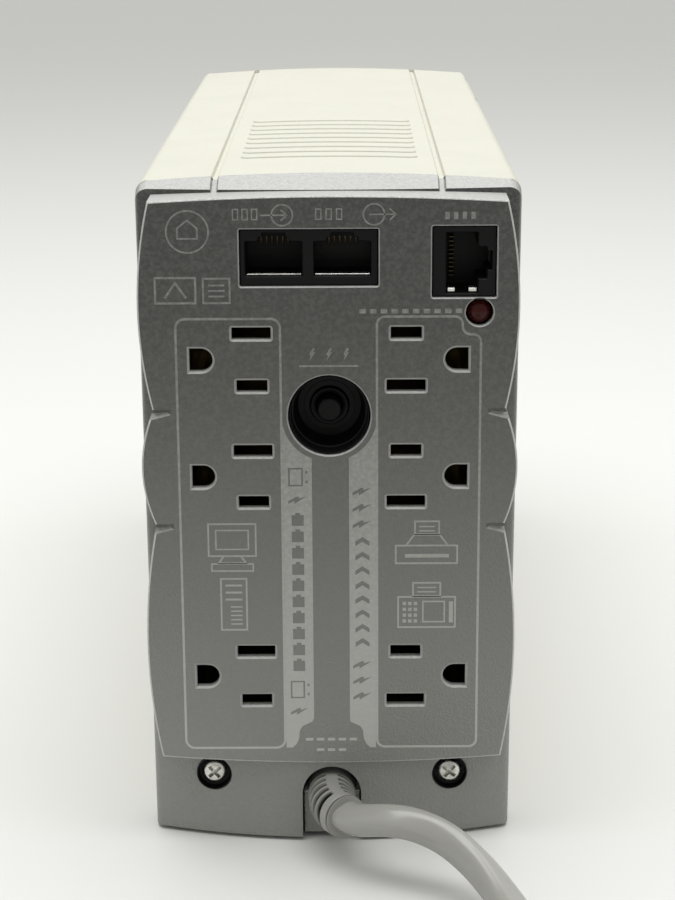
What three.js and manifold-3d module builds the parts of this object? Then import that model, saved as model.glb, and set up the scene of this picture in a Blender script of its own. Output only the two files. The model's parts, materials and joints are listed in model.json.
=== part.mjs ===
// A small tower uninterruptible power supply with its mains cord.
// Millimetres, +Z up. The origin is at the bottom centre of the body. The front, with the power button,
// faces -Y; the rear panel, with the outlets, faces +Y.
import * as THREE from 'three';
import { mergeVertices } from 'three/addons/utils/BufferGeometryUtils.js';
import Module from 'manifold-3d';

const wasm = await Module();
wasm.setup();

// ---------------------------------------------------------------- driving dimensions

const REAR_Y = 142; // face of the raised rear shield
const FRONT_Y = -140; // foremost point of the front bezel, which the power button stands just past
const HEIGHT = 165.6; // top of the crowned cover, at the middle
const HALF_TOP = 45.8; // half width at the top
const HALF_BOTTOM = 44.5; // half width at the floor
const FOOT_LIFT = 0.8; // height of the shells' lower edge above the floor
const WALL = 2.4;
const GAP = 0.3; // clearance between neighbouring pieces

const SEAM_DEPTH = 15; // rear panel to cover seam, measured forward from the shield face
const COVER_FRONT_Y = -120; // cover to bezel seam
const COVER_BOTTOM_Z = 6; // lower edge of the cover's sides
const CROWN_SHOULDER_Z = 163.9; // top surface where the corner rounding starts
const CORNER_R = 3.2;
const GROOVE_X = 26.8; // styling grooves along the top
const GROOVE_W = 1.3;
const GROOVE_DEEP = 0.9;

const RIB_COUNT = 9;
const RIB_PITCH = 8.93;
const RIB_FIRST_DEPTH = 43.9;
const RIB_HALF = 22;
const RIB_WIDE = 4.4;
const RIB_HIGH = 0.45;
const TOP_NOTCH_DEPTHS = [187, 247]; // vent notches in the cover's edge on the -X side
const TOP_NOTCH_HALF = 5;

const SHIELD_TOP_Z = 162.3; // top of the shield, at the middle
const SHIELD_BOTTOM_Z = 21;
const SHIELD_CUSPS = [161.2, 111.35, 82.9, 22.8]; // corner and cusp heights of the three side lobes
const SHIELD_CUSP_X = 41.8;
const SHIELD_LOBE = 3.0; // how far each lobe stands out past its cusps
const SHIELD_WALL = 2.2;

const OUTLET_ROWS = [123.7, 95.1, 44.2];
const BLADE_X = 18.2;
const BLADE_HALF_PITCH = 6.35; // two blades 12.7 apart
const GROUND_X = 30.1;
const SLOT_HIGH = 2.9;
const WIDE_SLOT = 9.2;
const NARROW_SLOT = 7.3;
const GROUND_R = 2.78; // the round side of the D-shaped ground hole
const GROUND_FLAT = 2.75; // its flat side, from the hole's middle

const WELL_Z = 110.1;
const WELL_R = 9.8;
const PHONE = { x0: -11.7, x1: 20.7, z0: 141.2, z1: 154.7 };
const PHONE_SOCKETS = [-3.3, 12.7]; // middles of the two sockets
const PHONE_MOUTH = [[6.6, 0], [6.6, 8], [3.55, 8], [3.55, 9], [2.6, 9], [2.6, 10.05]]; // half width, height
const DATA = { x0: -39.2, x1: -24.1, z0: 138.4, z1: 155.3 };
const DATA_MOUTH = [
  [-27.5, 139.4], [-27.5, 153.6], [-34.8, 153.6], [-34.8, 150.2], [-36.9, 150.2], [-36.9, 149.2],
  [-38.1, 149.2], [-38.1, 144.9], [-36.9, 144.9], [-36.9, 142.8], [-34.8, 142.8], [-34.8, 139.4],
];
const LAMP = { x: -35.3, z: 134.9, r: 3 };
const SCREW_X = 29.4;
const SCREW_Z = 16.7;
const RECESS_R = 4.42;
const NOTCH_HALF = 7.3;
const NOTCH_TOP_Z = 19.8;

const BATTERY = { x: 32.5, y0: -112, y1: 39, z0: 5.3, z1: 99.3 };
const TERMINAL_X = 22;
const TERMINAL_Y = BATTERY.y1 - 8;
const BOARD_Z = 136;
const BOARD_T = 1.6;

const DOOR = { x: 34, y0: -92, y1: 50, slide: 12 };
const FOOT_R = 6;

const BUTTON_Z = 92;
const BUTTON_R = 9;
const LIGHT_ROWS = [108, 114, 120, 126];
const LIGHT_R = 1.8;
const SWITCH_Y = FRONT_Y + 12.8;
const FRONT_BOARD_Y = FRONT_Y + 15;
const INSERT = { x: 17, z0: 66, z1: 134 };

const CORD_R = 4.25;
const COIL = { x: 5, y: 284, inner: 38.3, outer: 55.6, z0: 1.4, z1: 27 };
const PLUG_Y = 358;
const PLUG_Z = 12.5;
const PLUG_GRIP = { x0: 20, x1: 52, half: 13.5, top: 25 };

// ---------------------------------------------------------------- small helpers

function clean(geometry) {
  const bare = geometry.clone();
  bare.deleteAttribute('normal');
  bare.deleteAttribute('uv');
  return mergeVertices(bare, 1e-4);
}

function solid(geometry) {
  const merged = clean(geometry);
  const result = new wasm.Manifold(new wasm.Mesh({
    numProp: 3,
    vertProperties: new Float32Array(merged.attributes.position.array),
    triVerts: new Uint32Array(merged.index.array),
  }));
  if (result.volume() <= 0) throw new Error('a solid is inside out');
  return result;
}

function geometryOf(manifold) {
  const result = manifold.getMesh();
  const geometry = new THREE.BufferGeometry();
  geometry.setAttribute('position', new THREE.BufferAttribute(new Float32Array(result.vertProperties), 3));
  geometry.setIndex(new THREE.BufferAttribute(new Uint32Array(result.triVerts), 1));
  geometry.computeVertexNormals();
  return geometry;
}

function mapped(geometry, move) {
  const merged = clean(geometry);
  const position = merged.attributes.position;
  const point = new THREE.Vector3();
  for (let i = 0; i < position.count; i += 1) {
    point.fromBufferAttribute(position, i);
    move(point);
    position.setXYZ(i, point.x, point.y, point.z);
  }
  return merged;
}

const joined = (first, ...others) => others.reduce((sum, next) => sum.add(next), first);
const cut = (body, ...tools) => tools.reduce((rest, tool) => rest.subtract(tool), body);

function outline(points) {
  return new THREE.Shape(points.map(([a, b]) => new THREE.Vector2(a, b)));
}

function roundedRect(x0, y0, x1, y1, r) {
  const shape = new THREE.Shape();
  shape.absarc(x1 - r, y0 + r, r, -Math.PI / 2, 0);
  shape.absarc(x1 - r, y1 - r, r, 0, Math.PI / 2);
  shape.absarc(x0 + r, y1 - r, r, Math.PI / 2, Math.PI);
  shape.absarc(x0 + r, y0 + r, r, Math.PI, 1.5 * Math.PI);
  return shape;
}

// curveSegments is the number of straight steps in each half of an arc
function extruded(shape, length, curveSegments = 2) {
  return new THREE.ExtrudeGeometry(shape, { depth: length, bevelEnabled: false, curveSegments });
}

// a shape drawn in X and Y, extruded from z0 to z1
function alongZ(shape, z0, z1, segments) {
  return extruded(shape, z1 - z0, segments).translate(0, 0, z0);
}

// a shape drawn in X and Z, extruded from y0 to y1
function alongY(shape, y0, y1, segments) {
  return extruded(shape, y1 - y0, segments).rotateX(Math.PI / 2).translate(0, y1, 0);
}

// a shape drawn in Y and Z, extruded from x0 to x1
function alongX(shape, x0, x1, segments) {
  const turn = new THREE.Matrix4().makeBasis(
    new THREE.Vector3(0, 1, 0), new THREE.Vector3(0, 0, 1), new THREE.Vector3(1, 0, 0));
  return extruded(shape, x1 - x0, segments).applyMatrix4(turn).translate(x0, 0, 0);
}

function box(x0, x1, y0, y1, z0, z1) {
  return new THREE.BoxGeometry(x1 - x0, y1 - y0, z1 - z0)
    .translate((x0 + x1) / 2, (y0 + y1) / 2, (z0 + z1) / 2);
}

// a cylinder along Y
function rodY(x, z, r, y0, y1, sides = 24) {
  return new THREE.CylinderGeometry(r, r, y1 - y0, sides).translate(x, (y0 + y1) / 2, z);
}

function rodZ(x, y, r, z0, z1, sides = 24) {
  return new THREE.CylinderGeometry(r, r, z1 - z0, sides).rotateX(Math.PI / 2).translate(x, y, (z0 + z1) / 2);
}

// a turned piece about an axis along Y: profile points are [radius, y]
function turnedY(profile, x, z, sides = 24) {
  return new THREE.LatheGeometry(profile.map(([r, y]) => new THREE.Vector2(r, y)), sides).translate(x, 0, z);
}

const depthY = (depth) => REAR_Y - depth;
const halfWidth = (z) => HALF_BOTTOM + (HALF_TOP - HALF_BOTTOM) * (z / HEIGHT);

// ---------------------------------------------------------------- materials

function finish(color, roughness, metalness = 0) {
  return new THREE.MeshStandardMaterial({ color, roughness, metalness });
}

const CREAM = finish(0xeeeedd, 0.55);
const GREY = finish(0x77776f, 0.6);
const DARK = finish(0x3a3b3c, 0.5);
const BLACK = finish(0x101010, 0.45);
const CORD_GREY = finish(0xb4b3ac, 0.5);
const ZINC = finish(0xc9c9c4, 0.3, 1);
const BRASS = finish(0xc8a55a, 0.35, 1);
const IRON = finish(0x4a4a4c, 0.6, 0.8);
const COPPER = finish(0xa05a2c, 0.5);
const BOARD_GREEN = finish(0x2f5a35, 0.6);
const RUBBER = finish(0x1c1c1c, 0.9);
const RED = finish(0xb02018, 0.25);
const GREEN = finish(0x3aa04a, 0.3);
const AMBER = finish(0xd08a20, 0.3);

const ups = new THREE.Group();

function place(name, geometry, material) {
  const mesh = new THREE.Mesh(geometry, material);
  mesh.name = name;
  ups.add(mesh);
}

// ---------------------------------------------------------------- shared shell section

// Upper half of the section across the body, in X and Z: a crowned top with rounded corners.
// inset moves it inwards.
function sectionTop(inset) {
  const side = halfWidth(HEIGHT) - inset;
  const shoulder = side - CORNER_R * 0.6;
  const rise = HEIGHT - CROWN_SHOULDER_Z;
  const points = [];
  const steps = 4;
  for (let i = -steps; i <= steps; i += 1) {
    const x = (shoulder * i) / steps;
    points.push([x, HEIGHT - inset - rise * (x / shoulder) ** 2]);
  }
  const last = points[points.length - 1];
  const corner = [[side - 0.25, last[1] - 1.3], [side, last[1] - 3]];
  return [...corner.map(([x, z]) => [-x, z]).reverse(), ...points, ...corner];
}

function fullSection(inset, bottomZ) {
  const bottom = halfWidth(bottomZ) - inset;
  return outline([[bottom, bottomZ], [-bottom, bottomZ], ...sectionTop(inset)].reverse());
}

// ---------------------------------------------------------------- cover

function outerCover() {
  const lower = halfWidth(COVER_BOTTOM_Z);
  const inner = sectionTop(WALL).reverse();
  const path = [
    [-lower, COVER_BOTTOM_Z], ...sectionTop(0), [lower, COVER_BOTTOM_Z],
    [lower - WALL, COVER_BOTTOM_Z], ...inner, [-lower + WALL, COVER_BOTTOM_Z],
  ];
  let body = solid(alongY(outline(path.reverse()), COVER_FRONT_Y, depthY(SEAM_DEPTH)));
  for (const side of [-1, 1]) {
    const x = side * GROOVE_X;
    body = cut(body, solid(box(x - GROOVE_W / 2, x + GROOVE_W / 2, COVER_FRONT_Y - 1, depthY(SEAM_DEPTH) + 1,
      grooveFloor(), HEIGHT + 1)));
  }
  for (let i = 0; i < RIB_COUNT; i += 1) {
    const y = depthY(RIB_FIRST_DEPTH + i * RIB_PITCH);
    body = body.add(solid(crownedRib(y - RIB_WIDE / 2, y + RIB_WIDE / 2)));
  }
  for (const depth of TOP_NOTCH_DEPTHS) {
    const y = depthY(depth);
    const notch = box(-HALF_TOP - 1, -HALF_TOP + 1.1, y - TOP_NOTCH_HALF, y + TOP_NOTCH_HALF, 158.5, HEIGHT);
    body = cut(body, solid(notch));
  }
  return geometryOf(body);
}

function crownZ(x) {
  return HEIGHT - (HEIGHT - CROWN_SHOULDER_Z) * (x / 43) ** 2;
}

const grooveFloor = () => crownZ(GROOVE_X) - GROOVE_DEEP;

function crownedRib(y0, y1) {
  const points = [];
  for (let i = -4; i <= 4; i += 1) {
    const x = (RIB_HALF * i) / 4;
    points.push([x, crownZ(x) + RIB_HIGH]);
  }
  points.push([RIB_HALF, crownZ(RIB_HALF) - 0.6], [-RIB_HALF, crownZ(RIB_HALF) - 0.6]);
  return alongY(outline(points.reverse()), y0, y1);
}

// ---------------------------------------------------------------- rear panel

// Depth of the bulged rear face behind the shield plane: it leans away at the top and falls back at the
// sides.
function rimDepth(x, z) {
  const t = z / SHIELD_TOP_Z;
  const lean = -0.4 + 7.7 * t;
  const bulge = 7.8 - 3.4 * t;
  return lean + bulge * (x / HALF_BOTTOM) ** 2;
}

// The cap behind the shield, drawn with x from -1 to 1 across and y from 0, the rear face, to 1, the seam.
function capGeometry(inset, z0, z1) {
  const shape = new THREE.Shape();
  const steps = 10;
  shape.moveTo(-1, 1);
  for (let i = 0; i <= steps; i += 1) shape.lineTo(-1 + (2 * i) / steps, 0);
  shape.lineTo(1, 1);
  const raw = new THREE.ExtrudeGeometry(shape, { depth: z1 - z0, steps: 2, bevelEnabled: false });
  const seam = SEAM_DEPTH + (inset > 0 ? 1 : 0);
  return mapped(raw.translate(0, 0, z0), (p) => {
    const x = -p.x * (halfWidth(p.z) - inset);
    const rim = rimDepth(x, p.z) + inset;
    const corner = Math.abs(p.x) > 0.99 ? 1.6 : 0;
    p.y = depthY(rim + corner + (seam - rim - corner) * p.y);
    p.x = x;
  });
}

function shieldShape(inset) {
  const xCusp = SHIELD_CUSP_X - inset;
  const right = [];
  const [top, , , bottom] = SHIELD_CUSPS;
  for (let lobe = 0; lobe < 3; lobe += 1) {
    const zHigh = SHIELD_CUSPS[lobe];
    const zLow = SHIELD_CUSPS[lobe + 1];
    const steps = 6;
    for (let i = 0; i < steps; i += 1) {
      const t = i / steps;
      right.push([xCusp + SHIELD_LOBE * 4 * t * (1 - t), zHigh + (zLow - zHigh) * t]);
    }
  }
  right.push([xCusp, bottom]);
  const across = [];
  for (let i = 1; i < 6; i += 1) {
    const x = xCusp - (2 * xCusp * i) / 6;
    across.push([x, bottom - (bottom - SHIELD_BOTTOM_Z) * (1 - (x / xCusp) ** 2)]);
  }
  const crown = across.map(([x]) => [-x, top + (SHIELD_TOP_Z - top) * (1 - (x / xCusp) ** 2)]);
  const left = right.map(([x, z]) => [-x, z]).reverse();
  return outline([...right, ...across, ...left, ...crown].reverse());
}

// The dimple at a cusp: a wedge pointing inwards, shallower towards its tip.
function wedge(side, z) {
  const shape = outline([[0, -1.6], [4.7, 0], [0, 1.6]]);
  return mapped(alongY(shape, depthY(2), depthY(-1)), (p) => {
    const reach = 0.35 + (0.65 * (p.y - depthY(2))) / 3;
    p.x = side * (SHIELD_CUSP_X + 0.6 - p.x * reach);
    p.z = z - side * p.z;
  });
}

function groundHole(side, z, y0, y1) {
  const shape = new THREE.Shape();
  shape.moveTo(GROUND_FLAT, -GROUND_R);
  shape.lineTo(GROUND_FLAT, GROUND_R);
  shape.absarc(0, 0, GROUND_R, Math.PI / 2, Math.PI * 1.5);
  const geometry = alongY(shape, y0, y1, 8);
  if (side < 0) geometry.rotateY(Math.PI);
  return geometry.translate(side * GROUND_X, 0, z);
}

function outletCuts(y0, y1) {
  const tools = [];
  for (const side of [1, -1]) {
    for (const z of OUTLET_ROWS) {
      for (const blade of [1, -1]) {
        const width = blade * side > 0 ? WIDE_SLOT : NARROW_SLOT;
        const zBlade = z + blade * BLADE_HALF_PITCH;
        tools.push(solid(box(side * BLADE_X - width / 2, side * BLADE_X + width / 2, y0, y1,
          zBlade - SLOT_HIGH / 2, zBlade + SLOT_HIGH / 2)));
      }
      tools.push(solid(groundHole(side, z, y0, y1)));
    }
  }
  return tools;
}

function notchShape(half, topZ, bottomZ) {
  const shape = new THREE.Shape();
  shape.moveTo(-half, bottomZ);
  shape.lineTo(half, bottomZ);
  shape.absarc(0, topZ - half, half, 0, Math.PI);
  return shape;
}

function rearPanel() {
  const front = depthY(-5);
  const back = depthY(SEAM_DEPTH);
  const section = solid(alongY(fullSection(0, FOOT_LIFT), back - 5, front));
  const hollow = solid(alongY(fullSection(WALL, FOOT_LIFT + WALL), back - 5, front));
  let body = solid(capGeometry(0, 0, HEIGHT + 2)).intersect(section);
  body = solid(mapped(geometryOf(body), (p) => {
    const high = Math.min(1, Math.max(0, (p.z - 158) / 4));
    p.z -= 0.36 * (p.y - back) * high;
  }));
  let inside = solid(capGeometry(WALL, 0, HEIGHT + 2)).intersect(hollow);
  inside = solid(mapped(geometryOf(inside), (p) => {
    const high = Math.min(1, Math.max(0, (p.z - 156) / 4));
    p.z -= 0.36 * Math.max(0, p.y - back) * high;
  }));
  body = body.add(solid(alongY(shieldShape(0), back + 1, depthY(0))));
  const hollowOutline = outline([[-38, 24.5], [38, 24.5], [38, 151], [33, 156.5], [-33, 156.5], [-38, 151]]);
  const shieldHollow = solid(alongY(hollowOutline, back - 2, depthY(SHIELD_WALL)));
  body = cut(body, inside, shieldHollow);
  for (const side of [-1, 1]) {
    body = body.add(solid(rodY(side * SCREW_X, SCREW_Z, 6.2, depthY(11), depthY(3.6))));
  }
  const around = fullSection(0.4, FOOT_LIFT + 0.4);
  body = body.intersect(solid(alongY(around, back - 6, front)).add(section));
  const tools = [...outletCuts(depthY(8), depthY(-2))];
  tools.push(solid(rodY(0, WELL_Z, WELL_R, depthY(9), depthY(-2), 40)));
  tools.push(solid(box(PHONE.x0, PHONE.x1, depthY(20), depthY(-2), PHONE.z0, PHONE.z1)));
  tools.push(solid(box(DATA.x0, DATA.x1, depthY(20), depthY(-2), DATA.z0, DATA.z1)));
  tools.push(solid(rodY(LAMP.x, LAMP.z, LAMP.r + GAP, depthY(14), depthY(-2), 24)));
  tools.push(solid(alongY(notchShape(NOTCH_HALF, NOTCH_TOP_Z, -2), depthY(16), depthY(-3), 8)));
  for (const side of [-1, 1]) {
    tools.push(solid(rodY(side * SCREW_X, SCREW_Z, RECESS_R, depthY(6.4), depthY(-2), 28)));
    tools.push(solid(rodY(side * SCREW_X, SCREW_Z, 2, depthY(14), depthY(5), 16)));
    const x = side * GROOVE_X;
    tools.push(solid(box(x - GROOVE_W / 2, x + GROOVE_W / 2, back - 1, depthY(4), 161.3, HEIGHT + 1)));
    for (const z of SHIELD_CUSPS.slice(1, 3)) tools.push(solid(wedge(side, z)));
  }
  return geometryOf(cut(body, ...tools));
}

// ---------------------------------------------------------------- front bezel and its controls

function frontSide(inset) {
  const r = 22 - inset;
  const shape = new THREE.Shape();
  shape.moveTo(COVER_FRONT_Y + 5, -5);
  shape.lineTo(FRONT_Y + 5 + inset, -5);
  shape.lineTo(FRONT_Y + inset, 22);
  shape.absarc(FRONT_Y + 22, HEIGHT - 22, r, Math.PI, Math.PI / 2, true);
  shape.lineTo(COVER_FRONT_Y + 5, HEIGHT - inset);
  return shape;
}

function frontPlan(inset) {
  const side = HALF_TOP + 1 - inset;
  const shape = new THREE.Shape();
  shape.moveTo(side, COVER_FRONT_Y + 5);
  shape.lineTo(-side, COVER_FRONT_Y + 5);
  const back = 12;
  shape.lineTo(-side, FRONT_Y + back);
  const steps = 12;
  for (let i = 1; i < steps; i += 1) {
    const a = -1 + (2 * i) / steps;
    const bow = Math.abs(a) ** 5;
    shape.lineTo(a * side, FRONT_Y + inset + 1.2 * a * a + (back - inset - 1.2) * bow);
  }
  shape.lineTo(side, FRONT_Y + back);
  return shape;
}

function frontBody(inset, bottomZ, backY) {
  const around = solid(alongY(fullSection(inset, bottomZ), FRONT_Y - 2, backY));
  return around
    .intersect(solid(alongX(frontSide(inset), -60, 60, 4)))
    .intersect(solid(alongZ(frontPlan(inset), -6, HEIGHT + 4)));
}

function frontBezel() {
  const seam = COVER_FRONT_Y - GAP;
  let body = frontBody(0, FOOT_LIFT, seam);
  body = body.subtract(frontBody(WALL, FOOT_LIFT + WALL, seam + 4));
  body = body.subtract(solid(box(-60, 60, seam, seam + 9, -5, HEIGHT + 5)));
  body = body.subtract(solid(alongY(
    roundedRect(-INSERT.x - GAP, INSERT.z0 - GAP, INSERT.x + GAP, INSERT.z1 + GAP, 6), -150, FRONT_Y + 6)));
  for (const side of [-1, 1]) {
    const x = side * GROOVE_X;
    const trench = frontBody(GROOVE_DEEP, FOOT_LIFT + GROOVE_DEEP, seam);
    const slice = solid(box(x - GROOVE_W / 2, x + GROOVE_W / 2, -150, seam + 1, 4, HEIGHT + 3));
    body = body.subtract(slice.subtract(trench));
  }
  for (let i = 0; i < 6; i += 1) {
    const z = 24 + i * 5;
    body = body.subtract(solid(alongY(roundedRect(-20, z, 20, z + 2.2, 1), -150, FRONT_Y + 0.9, 3)));
  }
  return geometryOf(body);
}

function frontInsert() {
  let plate = solid(alongY(roundedRect(-INSERT.x, INSERT.z0, INSERT.x, INSERT.z1, 5.7),
    FRONT_Y - 0.7, FRONT_Y + 2.2));
  plate = plate.subtract(solid(rodY(0, BUTTON_Z, BUTTON_R + GAP, -150, FRONT_Y + 6, 32)));
  for (const z of LIGHT_ROWS) plate = plate.subtract(solid(rodY(0, z, LIGHT_R + GAP, -150, FRONT_Y + 6, 16)));
  return geometryOf(plate);
}

// The button's cap and the stem behind it, which stops short of the switch by the button's travel and a
// little more.
function powerButton() {
  const profile = [[0, 11], [3, 11], [3, 3.5], [BUTTON_R, 3.5], [BUTTON_R, -0.9], [BUTTON_R - 0.9, -1.7],
    [4, -2], [0, -2.1]];
  return turnedY(profile.map(([r, behind]) => [r, FRONT_Y + behind]).reverse(), 0, BUTTON_Z, 28);
}

function powerSwitch() {
  return box(-3.5, 3.5, SWITCH_Y, FRONT_BOARD_Y - GAP, BUTTON_Z - 3.5, BUTTON_Z + 3.5);
}

function statusLight(z) {
  const profile = [[0, 13], [LIGHT_R, 13], [LIGHT_R, -0.9], [1, -1.4], [0, -1.5]];
  return turnedY(profile.map(([r, behind]) => [r, FRONT_Y + behind]).reverse(), 0, z, 12);
}

// ---------------------------------------------------------------- base, door and feet

function tongueBoxes(grow, shift) {
  const boxes = [];
  for (const y of [-70, -17, 36]) {
    for (const side of [-1, 1]) {
      const x0 = side > 0 ? DOOR.x - 1 : -DOOR.x - 2.6 - grow;
      const x1 = side > 0 ? DOOR.x + 2.6 + grow : -DOOR.x + 1;
      boxes.push([x0, x1, y - 5 - grow + shift, y + 5 + grow + shift]);
    }
  }
  return boxes;
}

function baseTray() {
  const z1 = COVER_BOTTOM_Z - GAP;
  const y0 = COVER_FRONT_Y;
  const y1 = depthY(SEAM_DEPTH) - GAP;
  const half = HALF_BOTTOM;
  let body = solid(box(-half, half, y0, y1, FOOT_LIFT, z1));
  body = body.subtract(solid(box(-half + 4.4, half - 4.4, y0 + 2, y1 - 2, 3, 20)));
  const lip = half - WALL - GAP;
  const upstand = solid(box(-lip, lip, y0 + 0.4, y1 - 0.4, 4, 15))
    .subtract(solid(box(-lip + 1.7, lip - 1.7, y0 + 2, y1 - 2, 3, 20)));
  body = body.add(upstand);
  for (const side of [-1, 1]) {
    const x = side * SCREW_X;
    body = body.add(solid(box(x - 2.2, x + 2.2, y1 - 14, y1 - 0.4, 2.5, SCREW_Z)));
    body = body.add(solid(rodY(x, SCREW_Z, 4.2, y1 - 14, y1 - 0.4)));
    body = body.subtract(solid(rodY(x, SCREW_Z, 2.1, y1 - 12, y1 + 5, 16)));
  }
  body = body.subtract(solid(box(-12, 12, y1 - 3, y1 + 1, 6, 20)));
  const opening = solid(box(-DOOR.x - GAP, DOOR.x + GAP, DOOR.y0 + 1, DOOR.y1 + GAP, -1, 4));
  const track = solid(box(-DOOR.x - GAP, DOOR.x + GAP, DOOR.y0 - DOOR.slide - GAP, DOOR.y1 + GAP, -1, 2.5));
  body = cut(body, opening, track);
  for (const [x0, x1, ya, yb] of tongueBoxes(GAP, -DOOR.slide)) {
    body = body.subtract(solid(box(x0, x1, ya, yb, -1, 4)));
  }
  for (const [x, y] of footPlaces()) body = body.subtract(solid(rodZ(x, y, FOOT_R + GAP, -1, 2.1)));
  return geometryOf(body);
}

function batteryDoor() {
  let door = solid(box(-DOOR.x, DOOR.x, DOOR.y0, DOOR.y1, FOOT_LIFT, 2.2));
  for (const [x0, x1, y0, y1] of tongueBoxes(0, 0)) {
    const web = Math.sign(x0) * (DOOR.x - 0.5);
    door = door.add(solid(box(x0, x1, y0, y1, 3.0 + GAP, 4.7)));
    door = door.add(solid(box(web - 0.5, web + 0.5, y0, y1, 2, 4.7)));
  }
  for (let i = 0; i < 5; i += 1) {
    const y = -78 + i * 4;
    door = door.subtract(solid(box(-12, 12, y, y + 2, 0, FOOT_LIFT + 0.7)));
  }
  return geometryOf(door);
}

const footPlaces = () => [[-33, -112], [33, -112], [-33, 116], [33, 116]];

function foot(x, y) {
  const profile = [[0, 1.8], [FOOT_R, 1.8], [FOOT_R, 0.4], [FOOT_R - 0.6, 0], [0, 0]];
  return new THREE.LatheGeometry(profile.map(([r, z]) => new THREE.Vector2(r, z)).reverse(), 24)
    .rotateX(Math.PI / 2).translate(x, y, 0);
}

// ---------------------------------------------------------------- rear fittings

// A pan-head screw along Y, its head towards +Y, with a cross recess.
function rearScrew(side) {
  const head = depthY(4.2);
  const seat = depthY(6.1);
  const profile = [[0, head], [1.6, head - 0.1], [2.45, head - 0.65], [2.8, head - 1.4], [2.8, seat],
    [1.75, seat], [1.75, seat - 16], [0.4, seat - 18], [0, seat - 18.1]];
  let screw = solid(turnedY(profile.reverse(), side * SCREW_X, SCREW_Z, 24));
  const x = side * SCREW_X;
  for (const turn of [0.75, 0.75 + Math.PI / 2]) {
    const arm = new THREE.BoxGeometry(3.3, 2.4, 0.8).rotateY(turn + side * 0.1).translate(x, head, SCREW_Z);
    screw = screw.subtract(solid(arm));
  }
  return geometryOf(screw);
}

function breakerCollar() {
  const profile = [[3.3, depthY(13)], [9.5, depthY(13)], [9.5, depthY(0.8)], [8.9, depthY(0.8)],
    [8.5, depthY(8)], [7.6, depthY(10.6)], [4.6, depthY(10.6)], [4.6, depthY(9.2)], [3.3, depthY(9.2)],
    [3.3, depthY(13)]];
  return turnedY(profile, 0, WELL_Z, 40);
}

function breakerButton() {
  const profile = [[0, depthY(14)], [2.95, depthY(14)], [2.95, depthY(6.1)], [2.5, depthY(5.6)],
    [0, depthY(5.4)]];
  return turnedY(profile, 0, WELL_Z, 28);
}

function breakerBody() {
  const body = solid(box(-8, 8, depthY(46), depthY(13 + GAP), WELL_Z - 15, WELL_Z + 15));
  const tabs = [-8, 8].map((dz) => solid(box(-3.15, 3.15, depthY(56), depthY(45), WELL_Z + dz - 0.4,
    WELL_Z + dz + 0.4)));
  return geometryOf(joined(body, ...tabs).subtract(solid(rodY(0, WELL_Z, 3.3, depthY(20), depthY(0)))));
}

function phoneJack() {
  const { x0, x1, z0, z1 } = PHONE;
  const y = depthY(0.9);
  let body = solid(box(x0 + GAP, x1 - GAP, depthY(19), y, z0 + GAP, z1 - GAP));
  body = body.add(solid(box(x0 - 0.8, x1 + 0.8, depthY(19), depthY(3.4), BOARD_Z + BOARD_T + GAP, z1 + 0.8)));
  for (const mid of PHONE_SOCKETS) {
    body = body.subtract(solid(alongY(jackShape(mid, z0 + 2.4), depthY(14), depthY(-1))));
  }
  return geometryOf(body);
}

// The stepped opening of a modular jack: a wide mouth with a narrower key above it.
function jackShape(mid, z) {
  const right = PHONE_MOUTH.map(([x, h]) => [mid + x, z + h]);
  const left = PHONE_MOUTH.map(([x, h]) => [mid - x, z + h]);
  return outline([...right, ...left.reverse()]);
}

function dataJack() {
  const { x0, x1, z0, z1 } = DATA;
  const body = solid(box(x0 + GAP, x1 - GAP, depthY(19), depthY(0.9), z0 + GAP, z1 - GAP));
  const mouth = solid(alongY(outline(DATA_MOUTH), depthY(14), depthY(-1)));
  return geometryOf(body.subtract(mouth));
}

function faultLamp() {
  const { x, z, r } = LAMP;
  const profile = [[0, depthY(12)], [r, depthY(12)], [r, depthY(1.8)], [r * 0.8, depthY(0.8)],
    [r * 0.4, depthY(0.2)], [0, depthY(0.1)]];
  return turnedY(profile, x, z, 20);
}

// ---------------------------------------------------------------- outlets behind the panel

const CARRIER_BACK = 30; // depth of the carriers' rear faces

function outletCarrier(side) {
  const inner = 12.5;
  const outer = 35.8;
  const [x0, x1] = side > 0 ? [inner, outer] : [-outer, -inner];
  let body = solid(box(x0, x1, depthY(CARRIER_BACK), depthY(SHIELD_WALL + GAP), 34, 134));
  for (const z of OUTLET_ROWS) {
    for (const blade of [1, -1]) {
      const zBlade = z + blade * BLADE_HALF_PITCH;
      body = body.subtract(solid(box(side * BLADE_X - 4.9, side * BLADE_X + 4.9, depthY(CARRIER_BACK + 1),
        depthY(0), zBlade - 2.6, zBlade + 2.6)));
    }
    body = body.subtract(solid(rodY(side * GROUND_X, z, 4, depthY(CARRIER_BACK + 1), depthY(0), 16)));
  }
  const [cornerX0, cornerX1] = side > 0 ? [31.8, 37] : [-37, -31.8];
  const lampCorner = box(cornerX0, cornerX1, depthY(14), depthY(0), 131.4, 135);
  return geometryOf(body.subtract(solid(lampCorner)));
}

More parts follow.
